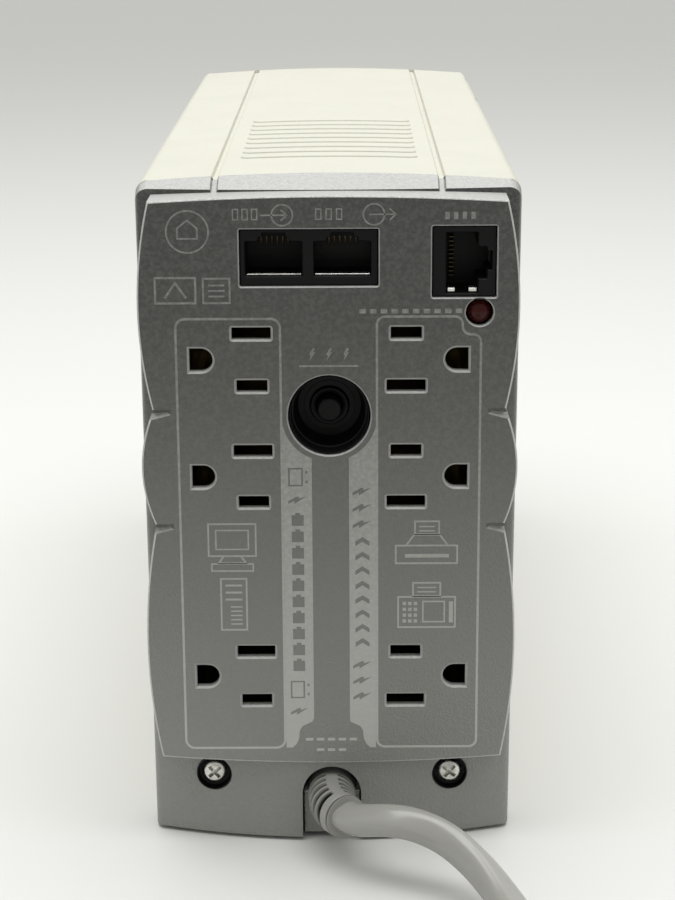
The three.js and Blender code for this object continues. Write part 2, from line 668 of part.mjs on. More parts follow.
// A contact bar behind one column: a vertical strip with a flat contact reaching into each outlet.
function contactBar(side, role) {
  const centre = role === 'ground' ? GROUND_X : BLADE_X;
  const [a, b] = { neutral: [-4, -0.3], line: [0.3, 4], ground: [-2, 2] }[role];
  const lift = { neutral: BLADE_HALF_PITCH, line: -BLADE_HALF_PITCH, ground: 0 }[role];
  const offset = role === 'ground' ? 2.7 : 2.0;
  const half = role === 'ground' ? 2 : 3;
  const y0 = depthY(CARRIER_BACK + 1.8);
  const y1 = depthY(CARRIER_BACK + 0.6);
  const x0 = side * centre + Math.min(side * a, side * b);
  const x1 = side * centre + Math.max(side * a, side * b);
  const tabX0 = Math.max(x0, side * centre - half);
  const tabX1 = Math.min(x1, side * centre + half);
  const [top, , bottom] = OUTLET_ROWS;
  let bar = solid(box(x0, x1, y0, y1, bottom - 9, top + 9));
  for (const z of OUTLET_ROWS) {
    const height = z + lift * side + offset;
    bar = bar.add(solid(box(tabX0, tabX1, y0, depthY(9), height - 0.4, height + 0.4)));
    bar = bar.add(solid(box(side * centre - half, side * centre + half, depthY(CARRIER_BACK - 1), depthY(9),
      height - 0.4, height + 0.4)));
  }
  return geometryOf(bar);
}

// ---------------------------------------------------------------- power parts

function transformerCore() {
  const body = solid(box(-34, 34, 50, 98, 3.3, 59.3));
  const windows = [[-22.6, -11.5], [11.5, 22.6]].map(([x0, x1]) => solid(box(x0, x1, 49, 99, 14.5, 48.1)));
  return geometryOf(cut(body, ...windows));
}

function transformerWinding() {
  const wound = solid(box(-22.2, 22.2, 40, 108, 15, 47.6));
  return geometryOf(wound.subtract(solid(box(-11.9, 11.9, 49.6, 98.4, 10, 50))));
}

function batteryCase() {
  const { x, y0, y1, z0, z1 } = BATTERY;
  const body = solid(box(-x, x, y0, y1, z0, z1 - 3));
  const lid = solid(box(-x + 0.5, x - 0.5, y0 + 0.5, y1 - 0.5, z1 - 4, z1));
  const pads = [-TERMINAL_X, TERMINAL_X].map(
    (at) => solid(box(at - 6, at + 6, y1 - 14, y1 + 1, z1 - 2.5, z1 + 1)));
  return geometryOf(cut(body.add(lid), ...pads));
}

function batteryTerminal(side) {
  const z = BATTERY.z1 - 2.5 + GAP;
  const x = side * TERMINAL_X;
  const base = solid(box(x - 3.15, x + 3.15, TERMINAL_Y - 3, TERMINAL_Y + 3, z, z + 0.8));
  return geometryOf(base.add(solid(box(x - 3.15, x + 3.15, TERMINAL_Y - 0.4, TERMINAL_Y + 0.4, z, z + 7))));
}

function smoothCurve(points) {
  return new THREE.CatmullRomCurve3(points.map((p) => new THREE.Vector3(...p)), false, 'centripetal');
}

function tube(points, radius, sides, steps) {
  const curve = smoothCurve(points);
  const circle = new THREE.Shape();
  circle.absarc(0, 0, radius, 0, 2 * Math.PI);
  return new THREE.ExtrudeGeometry(circle, {
    steps, extrudePath: curve, bevelEnabled: false, curveSegments: sides / 2,
  });
}

function batteryLead(side) {
  const x = side * TERMINAL_X;
  const y = TERMINAL_Y;
  return tube([[x, y, 104.5], [x, y + 3, 112], [x - side * 3, y + 9, 120], [x - side * 4, y + 12, 129],
    [x - side * 4, y + 12, BOARD_Z - GAP]], 1.7, 8, 12);
}

function mainBoard() {
  const shape = outline([[-37.5, -108], [37.5, -108], [37.5, 135], [-22, 135], [-22, 126], [-37.5, 126]]);
  return alongZ(shape, BOARD_Z, BOARD_Z + BOARD_T);
}

const ON_BOARD = BOARD_Z + BOARD_T + GAP;

function heatSink(y) {
  const points = [[-14, ON_BOARD], [14, ON_BOARD]];
  for (let i = 0; i < 5; i += 1) {
    const x = 14 - i * 6.3;
    points.push([x, ON_BOARD + 20], [x - 2.8, ON_BOARD + 20]);
    if (i < 4) points.push([x - 2.8, ON_BOARD + 3], [x - 6.3, ON_BOARD + 3]);
  }
  return alongY(outline(points), y, y + 34);
}

// ---------------------------------------------------------------- mains cord

// The ribbed strain relief: a flange in the panel's notch and a tapered sleeve that curves out of it
// towards -X.
const RELIEF_PATH = [[0, 133, 11.8], [0, 138, 11.8], [0, 143, 11.8], [-0.5, 147.5, 11.9],
  [-1.7, 151.3, 12.1], [-3.6, 154.6, 12.3]];
const RELIEF_R = 6.2; // at the panel
const RELIEF_TIP_R = 5.35;

function strainRelief() {
  const arch = notchShape(NOTCH_HALF - GAP, NOTCH_TOP_Z - GAP, FOOT_LIFT);
  const plate = solid(alongY(arch, depthY(9), depthY(3.4), 8));
  const curve = smoothCurve(RELIEF_PATH);
  const steps = 12;
  const circle = new THREE.Shape();
  circle.absarc(0, 0, 1, 0, 2 * Math.PI);
  const raw = new THREE.ExtrudeGeometry(circle, { depth: 1, steps, bevelEnabled: false, curveSegments: 8 });
  const sleeve = mapped(raw, (p) => {
    const t = Math.min(1, Math.max(0, p.z));
    const centre = curve.getPointAt(t);
    const along = curve.getTangentAt(t);
    const across = new THREE.Vector3(0, 0, 1).cross(along).normalize();
    const up = along.clone().cross(across);
    const radius = RELIEF_R + (RELIEF_TIP_R - RELIEF_R) * t;
    p.copy(centre.addScaledVector(across, p.x * radius).addScaledVector(up, p.y * radius));
  });
  return geometryOf(plate.add(solid(sleeve)));
}

// The route from the strain relief to the coil: out, towards -X, down to the floor and round behind the body.
const RUN_POINTS = [[-4.1, 155.6, 12.45], [-6.2, 158.5, 13.2], [-10.1, 161.8, 14.6], [-15.6, 165, 15.9],
  [-20.7, 167, 15.8], [-27.3, 169.9, 14], [-33.9, 175.9, 10.8], [-39.9, 186.9, 7], [-43.6, 198.5, 5],
  [-45.5, 210, CORD_R + 0.1], [-46.2, 224, CORD_R + 0.1], [-46.25, 238, CORD_R + 0.1],
  [-46.25, 251.5, CORD_R + 0.1]];

// From the coil's top turn down to the plug.
const TAIL_POINTS = [[-46.25, 317, 20.5], [-45.6, 326, 18.2], [-41.5, 336.5, 15.6], [-34, 346.5, 13.6],
  [-24.5, 354.4, 12.7], [-15.5, PLUG_Y - 0.2, PLUG_Z], [-11, PLUG_Y, PLUG_Z], [-6.4, PLUG_Y, PLUG_Z]];

function coilRing() {
  const { inner, outer, z0, z1 } = COIL;
  const soft = 3;
  const profile = [[inner + soft, z0], [outer - soft, z0], [outer, z0 + soft], [outer, z1 - soft],
    [outer - soft, z1], [inner + soft, z1], [inner, z1 - soft], [inner, z0 + soft], [inner + soft, z0]];
  return new THREE.LatheGeometry(profile.map(([r, z]) => new THREE.Vector2(r, z)), 40)
    .rotateX(Math.PI / 2).translate(COIL.x, COIL.y, 0);
}

function coilTie() {
  const { inner, outer, z0, z1 } = COIL;
  const band = 1;
  const half = 6;
  const x0 = COIL.x + Math.sqrt(inner ** 2 - half ** 2) - GAP - 0.1 - band;
  const x1 = COIL.x + outer + GAP + band;
  const strap = solid(box(x0, x1, COIL.y - half, COIL.y + half, 0, z1 + GAP + band));
  const round = box(x0 + band, x1 - band, COIL.y - half - 1, COIL.y + half + 1, z0 - GAP - 0.1, z1 + GAP);
  return geometryOf(strap.subtract(solid(round)));
}

// The moulded plug lies on the floor beyond the coil; its cable end faces -X.
function plugBody() {
  const { x0, x1, half, top } = PLUG_GRIP;
  const grip = solid(alongX(roundedRect(PLUG_Y - half, 0.05, PLUG_Y + half, top, 6), x0, x1, 5));
  const neck = [[0, -6], [5.3, -6], [6, 4], [8.6, 14], [10.5, 24], [0, 24]];
  const taper = new THREE.LatheGeometry(neck.map(([r, a]) => new THREE.Vector2(r, a)), 20)
    .rotateZ(-Math.PI / 2).translate(0, PLUG_Y, PLUG_Z);
  return geometryOf(grip.add(solid(taper)));
}

const PLUG_FACE_X = PLUG_GRIP.x1 + GAP;

function plugBlade(side) {
  const y = PLUG_Y + side * BLADE_HALF_PITCH;
  return box(PLUG_FACE_X, PLUG_FACE_X + 16, y - 0.75, y + 0.75, PLUG_Z + 2.9 - 3.15, PLUG_Z + 2.9 + 3.15);
}

function plugGroundPin() {
  const z = PLUG_Z + 2.9 - 11.9;
  const profile = [[0, 0], [2.38, 0], [2.38, 18], [1.2, 20.3], [0, 20.6]];
  return new THREE.LatheGeometry(profile.map(([r, a]) => new THREE.Vector2(r, a)), 16)
    .rotateZ(-Math.PI / 2).translate(PLUG_FACE_X, PLUG_Y, z);
}

// ---------------------------------------------------------------- assembly

place('outer_cover', outerCover(), CREAM);
place('rear_panel', rearPanel(), GREY);
place('front_bezel', frontBezel(), CREAM);
place('front_insert', frontInsert(), DARK);
place('base_tray', baseTray(), CREAM);
place('battery_door', batteryDoor(), CREAM);
footPlaces().forEach(([x, y], i) => place(`foot_${i + 1}`, foot(x, y), RUBBER));

place('rear_screw_left', rearScrew(1), ZINC);
place('rear_screw_right', rearScrew(-1), ZINC);
place('breaker_collar', breakerCollar(), BLACK);
place('breaker_body', breakerBody(), BLACK);
place('breaker_reset_button', breakerButton(), BLACK);
place('phone_line_jack', phoneJack(), BLACK);
place('data_jack', dataJack(), BLACK);
place('wiring_fault_lamp', faultLamp(), RED);

for (const [side, label] of [[1, 'left'], [-1, 'right']]) {
  place(`outlet_carrier_${label}`, outletCarrier(side), BLACK);
  for (const role of ['neutral', 'line', 'ground']) {
    place(`${role}_contacts_${label}`, contactBar(side, role), BRASS);
  }
}

place('transformer_core', transformerCore(), IRON);
place('transformer_winding', transformerWinding(), COPPER);
place('battery', batteryCase(), DARK);
place('battery_terminal_positive', batteryTerminal(1), BRASS);
place('battery_terminal_negative', batteryTerminal(-1), BRASS);
place('battery_lead_positive', batteryLead(1), RED);
place('battery_lead_negative', batteryLead(-1), BLACK);
place('main_board', mainBoard(), BOARD_GREEN);
[-18, 2, 22].forEach((x, i) => {
  place(`relay_${i + 1}`, box(x - 7.5, x + 7.5, 78, 98, ON_BOARD, ON_BOARD + 16), DARK);
});
place('heat_sink_left', heatSink(-20), ZINC);
place('heat_sink_right', heatSink(-62), ZINC);
place('capacitor_large', rodZ(24, 40, 9, ON_BOARD, ON_BOARD + 21), DARK);
place('capacitor_small', rodZ(-20, 40, 6.5, ON_BOARD, ON_BOARD + 17), DARK);
place('buzzer', rodZ(20, -86, 6, ON_BOARD, ON_BOARD + 8), BLACK);

place('power_button', powerButton(), CREAM);
place('power_switch', powerSwitch(), BLACK);
place('front_board', box(-20, 20, FRONT_BOARD_Y, FRONT_BOARD_Y + BOARD_T, 80, 134), BOARD_GREEN);
LIGHT_ROWS.forEach((z, i) => place(`status_light_${i + 1}`, statusLight(z), [RED, AMBER, AMBER, GREEN][i]));

place('strain_relief', strainRelief(), CORD_GREY);
place('cord_run', tube(RUN_POINTS, CORD_R, 10, 30), CORD_GREY);
place('cord_coil', coilRing(), CORD_GREY);
place('cord_tail', tube(TAIL_POINTS, CORD_R, 10, 14), CORD_GREY);
place('cord_tie', coilTie(), BLACK);
place('plug_body', plugBody(), CORD_GREY);
place('plug_blade_line', plugBlade(1), BRASS);
place('plug_blade_neutral', plugBlade(-1), BRASS);
place('plug_ground_pin', plugGroundPin(), BRASS);

export default ups;
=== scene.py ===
import json
import math

import bmesh
import bpy
from mathutils import Matrix, Vector


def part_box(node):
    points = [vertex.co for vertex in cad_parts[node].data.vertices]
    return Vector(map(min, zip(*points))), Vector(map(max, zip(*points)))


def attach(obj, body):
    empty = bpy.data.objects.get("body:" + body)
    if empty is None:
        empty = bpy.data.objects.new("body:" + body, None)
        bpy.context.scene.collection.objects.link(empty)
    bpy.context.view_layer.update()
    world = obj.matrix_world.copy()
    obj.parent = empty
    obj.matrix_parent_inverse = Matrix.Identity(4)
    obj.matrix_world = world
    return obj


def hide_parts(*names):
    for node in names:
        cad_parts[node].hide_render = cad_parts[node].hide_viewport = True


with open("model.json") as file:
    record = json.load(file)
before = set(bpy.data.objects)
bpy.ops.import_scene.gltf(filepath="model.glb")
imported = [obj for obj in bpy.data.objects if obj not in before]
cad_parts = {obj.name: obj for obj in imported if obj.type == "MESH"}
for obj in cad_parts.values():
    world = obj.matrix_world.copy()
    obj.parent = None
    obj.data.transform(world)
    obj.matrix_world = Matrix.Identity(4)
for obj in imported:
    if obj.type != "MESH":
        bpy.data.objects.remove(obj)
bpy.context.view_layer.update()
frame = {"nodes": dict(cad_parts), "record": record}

NODES = frame["nodes"]
BODY = "case"
MM = 0.001


def mm(*values):
    """A point given in millimetres, in the frame's metres."""
    return Vector([v * MM for v in values])


# -------- driving dimensions, in metres

COVER_LOW, COVER_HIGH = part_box("outer_cover")
BEZEL_LOW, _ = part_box("front_bezel")

SEAM_Y = COVER_HIGH.y                # where the cover meets the rear panel
SHIELD_Y = SEAM_Y + 15 * MM          # face of the raised shield on the rear panel
COVER_FRONT_Y = COVER_LOW.y
FRONT_Y = BEZEL_LOW.y
SHELL_WALL = 2.4                     # thickness of the moulded shells, in millimetres


# -------- camera

CAMERA_PLACE = mm(-4.83, 628.95, 239.61)
CAMERA_LENS = 85.16                  # on a 36 mm sensor along the frame's long side
CAMERA_DOWN = 0.276                  # radians below the horizon
CAMERA_TURN, CAMERA_ROLL = 0.006, -0.006


def make_camera():
    """The camera stands behind the object and looks a little down on its rear, with no shift."""
    data = bpy.data.cameras.new("camera")
    data.lens = CAMERA_LENS
    data.sensor_width = 36.0
    data.clip_start = 0.01
    data.clip_end = 100.0
    camera = bpy.data.objects.new("camera", data)
    bpy.context.scene.collection.objects.link(camera)
    turn = Matrix.Rotation(math.pi + CAMERA_TURN, 4, "Z")
    tilt = Matrix.Rotation(math.pi / 2 - CAMERA_DOWN, 4, "X")
    roll = Matrix.Rotation(CAMERA_ROLL, 4, "Z")
    camera.matrix_world = Matrix.Translation(CAMERA_PLACE) @ turn @ tilt @ roll
    bpy.context.scene.camera = camera


make_camera()


# -------- node materials

class Material:
    """A node material being built, by short calls that each add a node and return its output."""

    def __init__(self, name):
        self.material = bpy.data.materials.new(name)
        self.material.use_nodes = True
        self.tree = self.material.node_tree
        self.shader = self.tree.nodes["Principled BSDF"]
        self.place = self.node("ShaderNodeTexCoord", {}).outputs["Object"]

    def node(self, kind, inputs, **settings):
        """A new node with its settings made and its inputs filled."""
        made = self.tree.nodes.new(kind)
        for key, value in settings.items():
            setattr(made, key, value)
        for key, value in inputs.items():
            self.fill(made.inputs[key], value)
        return made

    def fill(self, socket, value):
        """Wires another node's output to a socket, or sets it to a number, a vector or an (r, g, b) tuple."""
        if isinstance(value, bpy.types.NodeSocket):
            self.tree.links.new(value, socket)
        else:
            socket.default_value = (*value, 1.0) if isinstance(value, tuple) else value

    def stretched(self, stretch):
        if stretch is None:
            return self.place
        inputs = {"Vector": self.place, "Scale": Vector(stretch)}
        return self.node("ShaderNodeMapping", inputs).outputs["Vector"]

    def noise(self, scale, detail=3.0, rough=0.5, stretch=None):
        inputs = {"Scale": scale, "Detail": detail, "Roughness": rough, "Vector": self.stretched(stretch)}
        return self.node("ShaderNodeTexNoise", inputs).outputs["Fac"]

    def cells(self, scale, randomness=1.0):
        inputs = {"Scale": scale, "Randomness": randomness, "Vector": self.place}
        return self.node("ShaderNodeTexVoronoi", inputs).outputs["Distance"]

    def attribute(self, name):
        """A value stored on the mesh, or 0 where it stores none."""
        return self.node("ShaderNodeAttribute", {}, attribute_name=name).outputs["Fac"]

    def facing(self, name):
        """How far the surface faces along an axis, from -1 to 1."""
        normal = self.node("ShaderNodeNewGeometry", {}).outputs["Normal"]
        return self.node("ShaderNodeSeparateXYZ", {0: normal}).outputs[name]

    def axis(self, name):
        return self.node("ShaderNodeSeparateXYZ", {0: self.place}).outputs[name]

    def math(self, operation, a, b=0.0):
        return self.node("ShaderNodeMath", {0: a, 1: b}, operation=operation).outputs[0]

    def ramp(self, value, low, high, out_low=0.0, out_high=1.0):
        """Carries a value smoothly from one range to another."""
        inputs = {"Value": value, "From Min": low, "From Max": high, "To Min": out_low, "To Max": out_high}
        return self.node("ShaderNodeMapRange", inputs, interpolation_type="SMOOTHSTEP").outputs["Result"]

    def mix(self, share, first, second):
        inputs = {"Factor": share, "A": first, "B": second}
        return self.node("ShaderNodeMix", inputs, data_type="RGBA").outputs["Result"]

    def bump(self, height, distance, strength):
        inputs = {"Strength": strength, "Distance": distance, "Height": height}
        return self.node("ShaderNodeBump", inputs).outputs["Normal"]

    def finish(self, colour, roughness, normal=None, metallic=0.0, specular=0.5, coat=0.0, subsurface=0.0):
        values = {"Base Color": colour, "Roughness": roughness, "Metallic": metallic,
                  "Specular IOR Level": specular, "Coat Weight": coat, "Subsurface Weight": subsurface}
        if subsurface:
            values["Subsurface Scale"] = 0.002
        if normal is not None:
            values["Normal"] = normal
        for name, value in values.items():
            self.fill(self.shader.inputs[name], value)
        return self.material


def shade(colour, factor):
    """The colour made lighter or darker."""
    return tuple(c * factor for c in colour)


def moulded(name, colour, roughness=0.55, grain=0.00006, grain_scale=1500.0, mottle=0.05, dust=None,
            specular=0.45, subsurface=0.0, painted_height_shade=None, upward_painted_light=None, edge_highlight=None):
    """Textured injection moulding: a fine spark-eroded grain, faint flow mottling and a little dust.
    The last three arguments paint light and shade into the colour: (height, factor, height, factor) for
    painted shade that darkens the rear face evenly towards the top, the colour of painted light laid on faces
    turned upwards, and the colour of a painted highlight on chamfered edges, which brings painted shade to
    marked faces too."""
    m = Material(name)
    broad = m.noise(18.0, 4.0, 0.55)

    def mottled(factor):
        return m.mix(broad, shade(colour, factor * (1.0 - mottle)), shade(colour, factor * (1.0 + mottle)))

    if painted_height_shade is None:
        base = mottled(1.0)
    else:
        low, low_factor, high, high_factor = painted_height_shade
        # painted shade: faces turned to the rear darken evenly towards the top, standing in for the floor's
        # light
        tone = m.math("MULTIPLY", m.ramp(m.axis("Z"), low, high), m.ramp(m.facing("Y"), 0.3, 0.8))
        base = m.mix(tone, mottled(low_factor), mottled(high_factor))
    if edge_highlight is not None:
        # painted highlight: chamfer faces at the openings and the shield's edge are made lighter
        base = m.mix(m.math("MULTIPLY", m.attribute("edge"), 0.85), base, edge_highlight)
        # painted shade: faces marked as lying in shade are made nearly black
        base = m.mix(m.attribute("recess"), base, shade(colour, 0.05))
    # painted light: faces turned upwards are made much lighter, as if lit from above
    if upward_painted_light is not None:
        base = m.mix(m.ramp(m.facing("Z"), 0.4, 0.85, 0.0, 0.92), base, upward_painted_light)
    speck = m.noise(grain_scale * 0.6, 2.0, 0.6)
    base = m.mix(m.ramp(speck, 0.35, 0.7, 0.0, 0.2), base, shade(colour, 1.0 - 2.2 * mottle))
    if dust is not None:
        lint = m.noise(2300.0, 3.0, 0.7)
        base = m.mix(m.ramp(lint, 0.62, 0.8, 0.0, 0.2), base, dust)
    grains = m.cells(grain_scale)
    fine = m.noise(grain_scale * 1.7, 2.0, 0.6)
    height = m.math("ADD", grains, m.math("MULTIPLY", fine, 0.7))
    normal = m.bump(height, grain, 0.55)
    rough = m.ramp(m.noise(60.0, 4.0, 0.6), 0.3, 0.75, roughness - 0.05, roughness + 0.07)
    return m.finish(base, rough, normal, specular=specular, subsurface=subsurface)


def glossy_plastic(name, colour, roughness=0.25, coat=0.2, specular=0.5):
    """Polished plastic with faint smudges."""
    m = Material(name)
    base = m.mix(m.noise(40.0, 3.0), shade(colour, 0.93), shade(colour, 1.05))
    smudge = m.ramp(m.noise(110.0, 5.0, 0.65), 0.35, 0.75, roughness, roughness + 0.16)
    normal = m.bump(m.noise(900.0, 2.0), 0.00001, 0.4)
    return m.finish(base, smudge, normal, coat=coat, specular=specular)


def soft_vinyl(name, colour):
    """The cord's jacket: smooth soft plastic with a few scuffs, and painted shade over the sleeve and in its
    slots.
    """
    m = Material(name)
    base = m.mix(m.noise(35.0, 2.0, 0.5), shade(colour, 0.94), shade(colour, 1.05))
    scuff = m.ramp(m.noise(420.0, 6.0, 0.75), 0.68, 0.85, 0.0, 0.25)
    base = m.mix(scuff, base, shade(colour, 0.75))
    # painted shade: the strain relief's sleeve is darkened a little, and its slots nearly to black
    base = m.mix(m.attribute("groove"), base, shade(colour, 0.05))
    rough = m.ramp(m.noise(190.0, 2.0, 0.5), 0.2, 0.8, 0.2, 0.27)
    normal = m.bump(m.noise(1900.0, 2.0), 0.00002, 0.3)
    return m.finish(base, rough, normal, specular=0.8)


def metal(name, colour, roughness=0.3, stain=0.12, brushed=(1.0, 1.0, 1.0)):
    """Bare metal with stains, streaked along the axis in which brushed is small."""
    m = Material(name)
    base = m.mix(m.ramp(m.noise(240.0, 5.0, 0.65), 0.35, 0.75), colour, shade(colour, 1.0 - 3 * stain))
    streak = m.noise(900.0, 3.0, 0.6, stretch=brushed)
    rough = m.ramp(streak, 0.3, 0.7, roughness - 0.07, roughness + 0.1)
    normal = m.bump(streak, 0.00002, 0.35)
    return m.finish(base, rough, normal, metallic=1.0)


def rubber(name, colour):
    """Matt rubber with a rubbed, slightly dusty surface."""
    m = Material(name)
    base = m.mix(m.noise(130.0, 4.0), shade(colour, 0.7), shade(colour, 1.5))
    normal = m.bump(m.noise(1200.0, 3.0), 0.00005, 0.6)
    return m.finish(base, m.ramp(m.noise(80.0), 0.3, 0.7, 0.7, 0.88), normal, specular=0.3)


def circuit_board(name):
    """Green lacquer with tracks under it and tinned pads."""
    m = Material(name)
    tracks = m.math("ABSOLUTE", m.math("SINE", m.math("MULTIPLY", m.axis("X"), 1250.0)))
    patches = m.ramp(m.noise(70.0, 1.0), 0.46, 0.5)
    copper = m.math("MULTIPLY", m.ramp(tracks, 0.5, 0.6), patches)
    base = m.mix(copper, (0.012, 0.09, 0.028), (0.035, 0.17, 0.06))
    pads = m.ramp(m.cells(380.0, 0.7), 0.12, 0.16, 1.0, 0.0)
    base = m.mix(pads, base, (0.6, 0.6, 0.58))
    normal = m.bump(m.math("ADD", copper, pads), 0.00004, 0.7)
    return m.finish(base, m.ramp(m.noise(100.0), 0.3, 0.7, 0.25, 0.38), normal, coat=0.3)


def laminated_steel(name):
    """A stack of thin sheets seen on edge, with varnish between them."""
    m = Material(name)
    sheets = m.math("ABSOLUTE", m.math("SINE", m.math("MULTIPLY", m.axis("Y"), 6280.0)))
    base = m.mix(m.ramp(sheets, 0.1, 0.5), (0.03, 0.025, 0.02), (0.2, 0.2, 0.2))
    base = m.mix(m.ramp(m.noise(90.0, 5.0), 0.5, 0.7, 0.0, 0.6), base, (0.12, 0.05, 0.02))
    return m.finish(base, 0.5, m.bump(sheets, 0.00005, 0.8), metallic=0.7)


def wound_tape(name):
    """Yellow tape wound in overlapping turns."""
    m = Material(name)
    lap = m.math("FRACT", m.math("MULTIPLY", m.axis("Z"), 120.0))
    base = m.mix(m.ramp(lap, 0.0, 0.12), (0.35, 0.2, 0.02), (0.75, 0.48, 0.06))
    base = m.mix(m.noise(60.0), base, (0.6, 0.35, 0.04))
    return m.finish(base, 0.35, m.bump(lap, 0.0001, 0.6), coat=0.3)


PANEL_GREY = (0.200, 0.202, 0.190)
INK = (0.600, 0.606, 0.576)
CREAM = (0.590, 0.583, 0.508)
CORD_GREY = (0.335, 0.333, 0.312)

MATERIALS = {
    "cream_shell": moulded("cream_shell", CREAM, 0.5, 0.00005, 1300.0, 0.02, dust=(0.5, 0.48, 0.42),
                           subsurface=0.03),
    # panel_grey: painted shade up the rear face, painted light on faces turned upwards, painted highlights on
    # edges
    "panel_grey": moulded("panel_grey", PANEL_GREY, 0.36, 0.00026, 1600.0, 0.03, dust=(0.4, 0.4, 0.38),
                          specular=0.75, painted_height_shade=(0.01, 1.2, 0.155, 0.15), upward_painted_light=(0.47, 0.475, 0.465),
                          edge_highlight=(0.55, 0.555, 0.54)),
    # ink: the print's colour carries the same painted shade up the rear face
    "ink": moulded("ink", INK, 0.5, 0.00005, 1500.0, 0.03, painted_height_shade=(0.01, 0.8, 0.15, 0.27)),
    "insert_dark": moulded("insert_dark", (0.035, 0.036, 0.04), 0.4, 0.00003, 1900.0, 0.1),
    "button_cream": moulded("button_cream", (0.74, 0.73, 0.67), 0.38, 0.00002, 1900.0, 0.02),
    "black_plastic": moulded("black_plastic", (0.0045, 0.0045, 0.005), 0.42, 0.00003, 1900.0, 0.15,
                             specular=0.16),
    "foot_rubber": rubber("foot_rubber", (0.02, 0.02, 0.02)),
    "zinc": metal("zinc", (0.78, 0.77, 0.73), 0.28),
    "contact_brass": metal("contact_brass", (0.72, 0.5, 0.2), 0.26),
    # brass darkened by painted shade, for the contacts deep inside the jacks
    "contact_brass_shaded": metal("contact_brass_shaded", (0.1, 0.075, 0.04), 0.4),
    "core_steel": laminated_steel("core_steel"),
    "winding_tape": wound_tape("winding_tape"),
    "battery_case": moulded("battery_case", (0.045, 0.046, 0.05), 0.5, 0.00008, 1100.0, 0.1),
    "board": circuit_board("board"),
    "component_dark": glossy_plastic("component_dark", (0.02, 0.03, 0.06)),
    "sink_aluminium": metal("sink_aluminium", (0.7, 0.71, 0.72), 0.32, 0.06, (1.0, 0.03, 1.0)),
    "lamp_red": glossy_plastic("lamp_red", (0.032, 0.0008, 0.0006), 0.14, 0.0, 0.22),
    "light_red": glossy_plastic("light_red", (0.4, 0.02, 0.015), 0.15, 0.5),
    "light_amber": glossy_plastic("light_amber", (0.6, 0.25, 0.02), 0.15, 0.5),
    "light_green": glossy_plastic("light_green", (0.04, 0.3, 0.06), 0.15, 0.5),
    "lead_red": soft_vinyl("lead_red", (0.4, 0.02, 0.015)),
    "lead_black": soft_vinyl("lead_black", (0.02, 0.02, 0.02)),
    "cord_grey": soft_vinyl("cord_grey", CORD_GREY),
    "tie_black": glossy_plastic("tie_black", (0.015, 0.015, 0.015), 0.35),
}

SLOT_OF = {row["node"]: row["material_slot"] for row in frame["record"]["subparts"]}


BEVEL_WIDTH, BEVEL_ANGLE = 0.25 * MM, math.radians(40)


def finish_cad_nodes():
    """Every CAD node gets its slot's material, and a narrow bevel where it keeps its own mesh."""
    for name, node in NODES.items():
        node.data.materials.clear()
        node.data.materials.append(MATERIALS[SLOT_OF[name]])
        bevel = node.modifiers.new("edge", "BEVEL")
        bevel.width = BEVEL_WIDTH
        bevel.segments = 2
        bevel.limit_method = "ANGLE"
        bevel.angle_limit = BEVEL_ANGLE


finish_cad_nodes()


# -------- mesh helpers

def add_object(name, verts, faces, slot, smooth_angle=35.0):
    """A new piece in a slot's material: edges sharper than smooth_angle, in degrees, stay crisp."""
    mesh = bpy.data.meshes.new(name)
    mesh.from_pydata([tuple(v) for v in verts], [], faces)
    return place_mesh(name, mesh, slot, smooth_angle)


def place_mesh(name, mesh, slot, smooth_angle=35.0):
    """A new object in the scene for a mesh, cleaned up."""
    mesh.materials.append(MATERIALS[slot])
    piece = bpy.data.objects.new(name, mesh)
    bpy.context.scene.collection.objects.link(piece)
    tidy_mesh(piece, smooth_angle)
    return piece


SAME_POINT = 1e-7                    # points closer than this are one, in metres


def tidy_mesh(piece, smooth_angle=35.0):
    """Merges doubled points, faces everything outwards and splits the shading at sharp edges."""
    bm = bmesh.new()
    bm.from_mesh(piece.data)
    bmesh.ops.remove_doubles(bm, verts=bm.verts, dist=SAME_POINT)
    bmesh.ops.recalc_face_normals(bm, faces=bm.faces)
    limit = math.radians(smooth_angle)
    for face in bm.faces:
        face.smooth = True
    for edge in bm.edges:
        edge.smooth = edge.is_manifold and edge.calc_face_angle(0.0) < limit
    bm.to_mesh(piece.data)
    bm.free()


def grid_faces(rows, width, start=0):
    """Faces over an open grid of points that lie row by row in a list, from a place in it."""
    corner = [start + row * width + k for row in range(rows - 1) for k in range(width - 1)]
    return [(a, a + 1, a + width + 1, a + width) for a in corner]


def tube_faces(rings, sides):
    """Faces over closed rings of points that lie ring by ring in a list."""
    pairs = [(i * sides + k, i * sides + (k + 1) % sides) for i in range(rings - 1) for k in range(sides)]
    return [(a, b, b + sides, a + sides) for a, b in pairs]


def settle(piece, body, *nodes, slot=None):
    """The piece rides on a body and stands for CAD nodes."""
    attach(piece, body)
    if nodes:
        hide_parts(*nodes)
    piece.modifiers.new("normals", "WEIGHTED_NORMAL").keep_sharp = True
    return piece


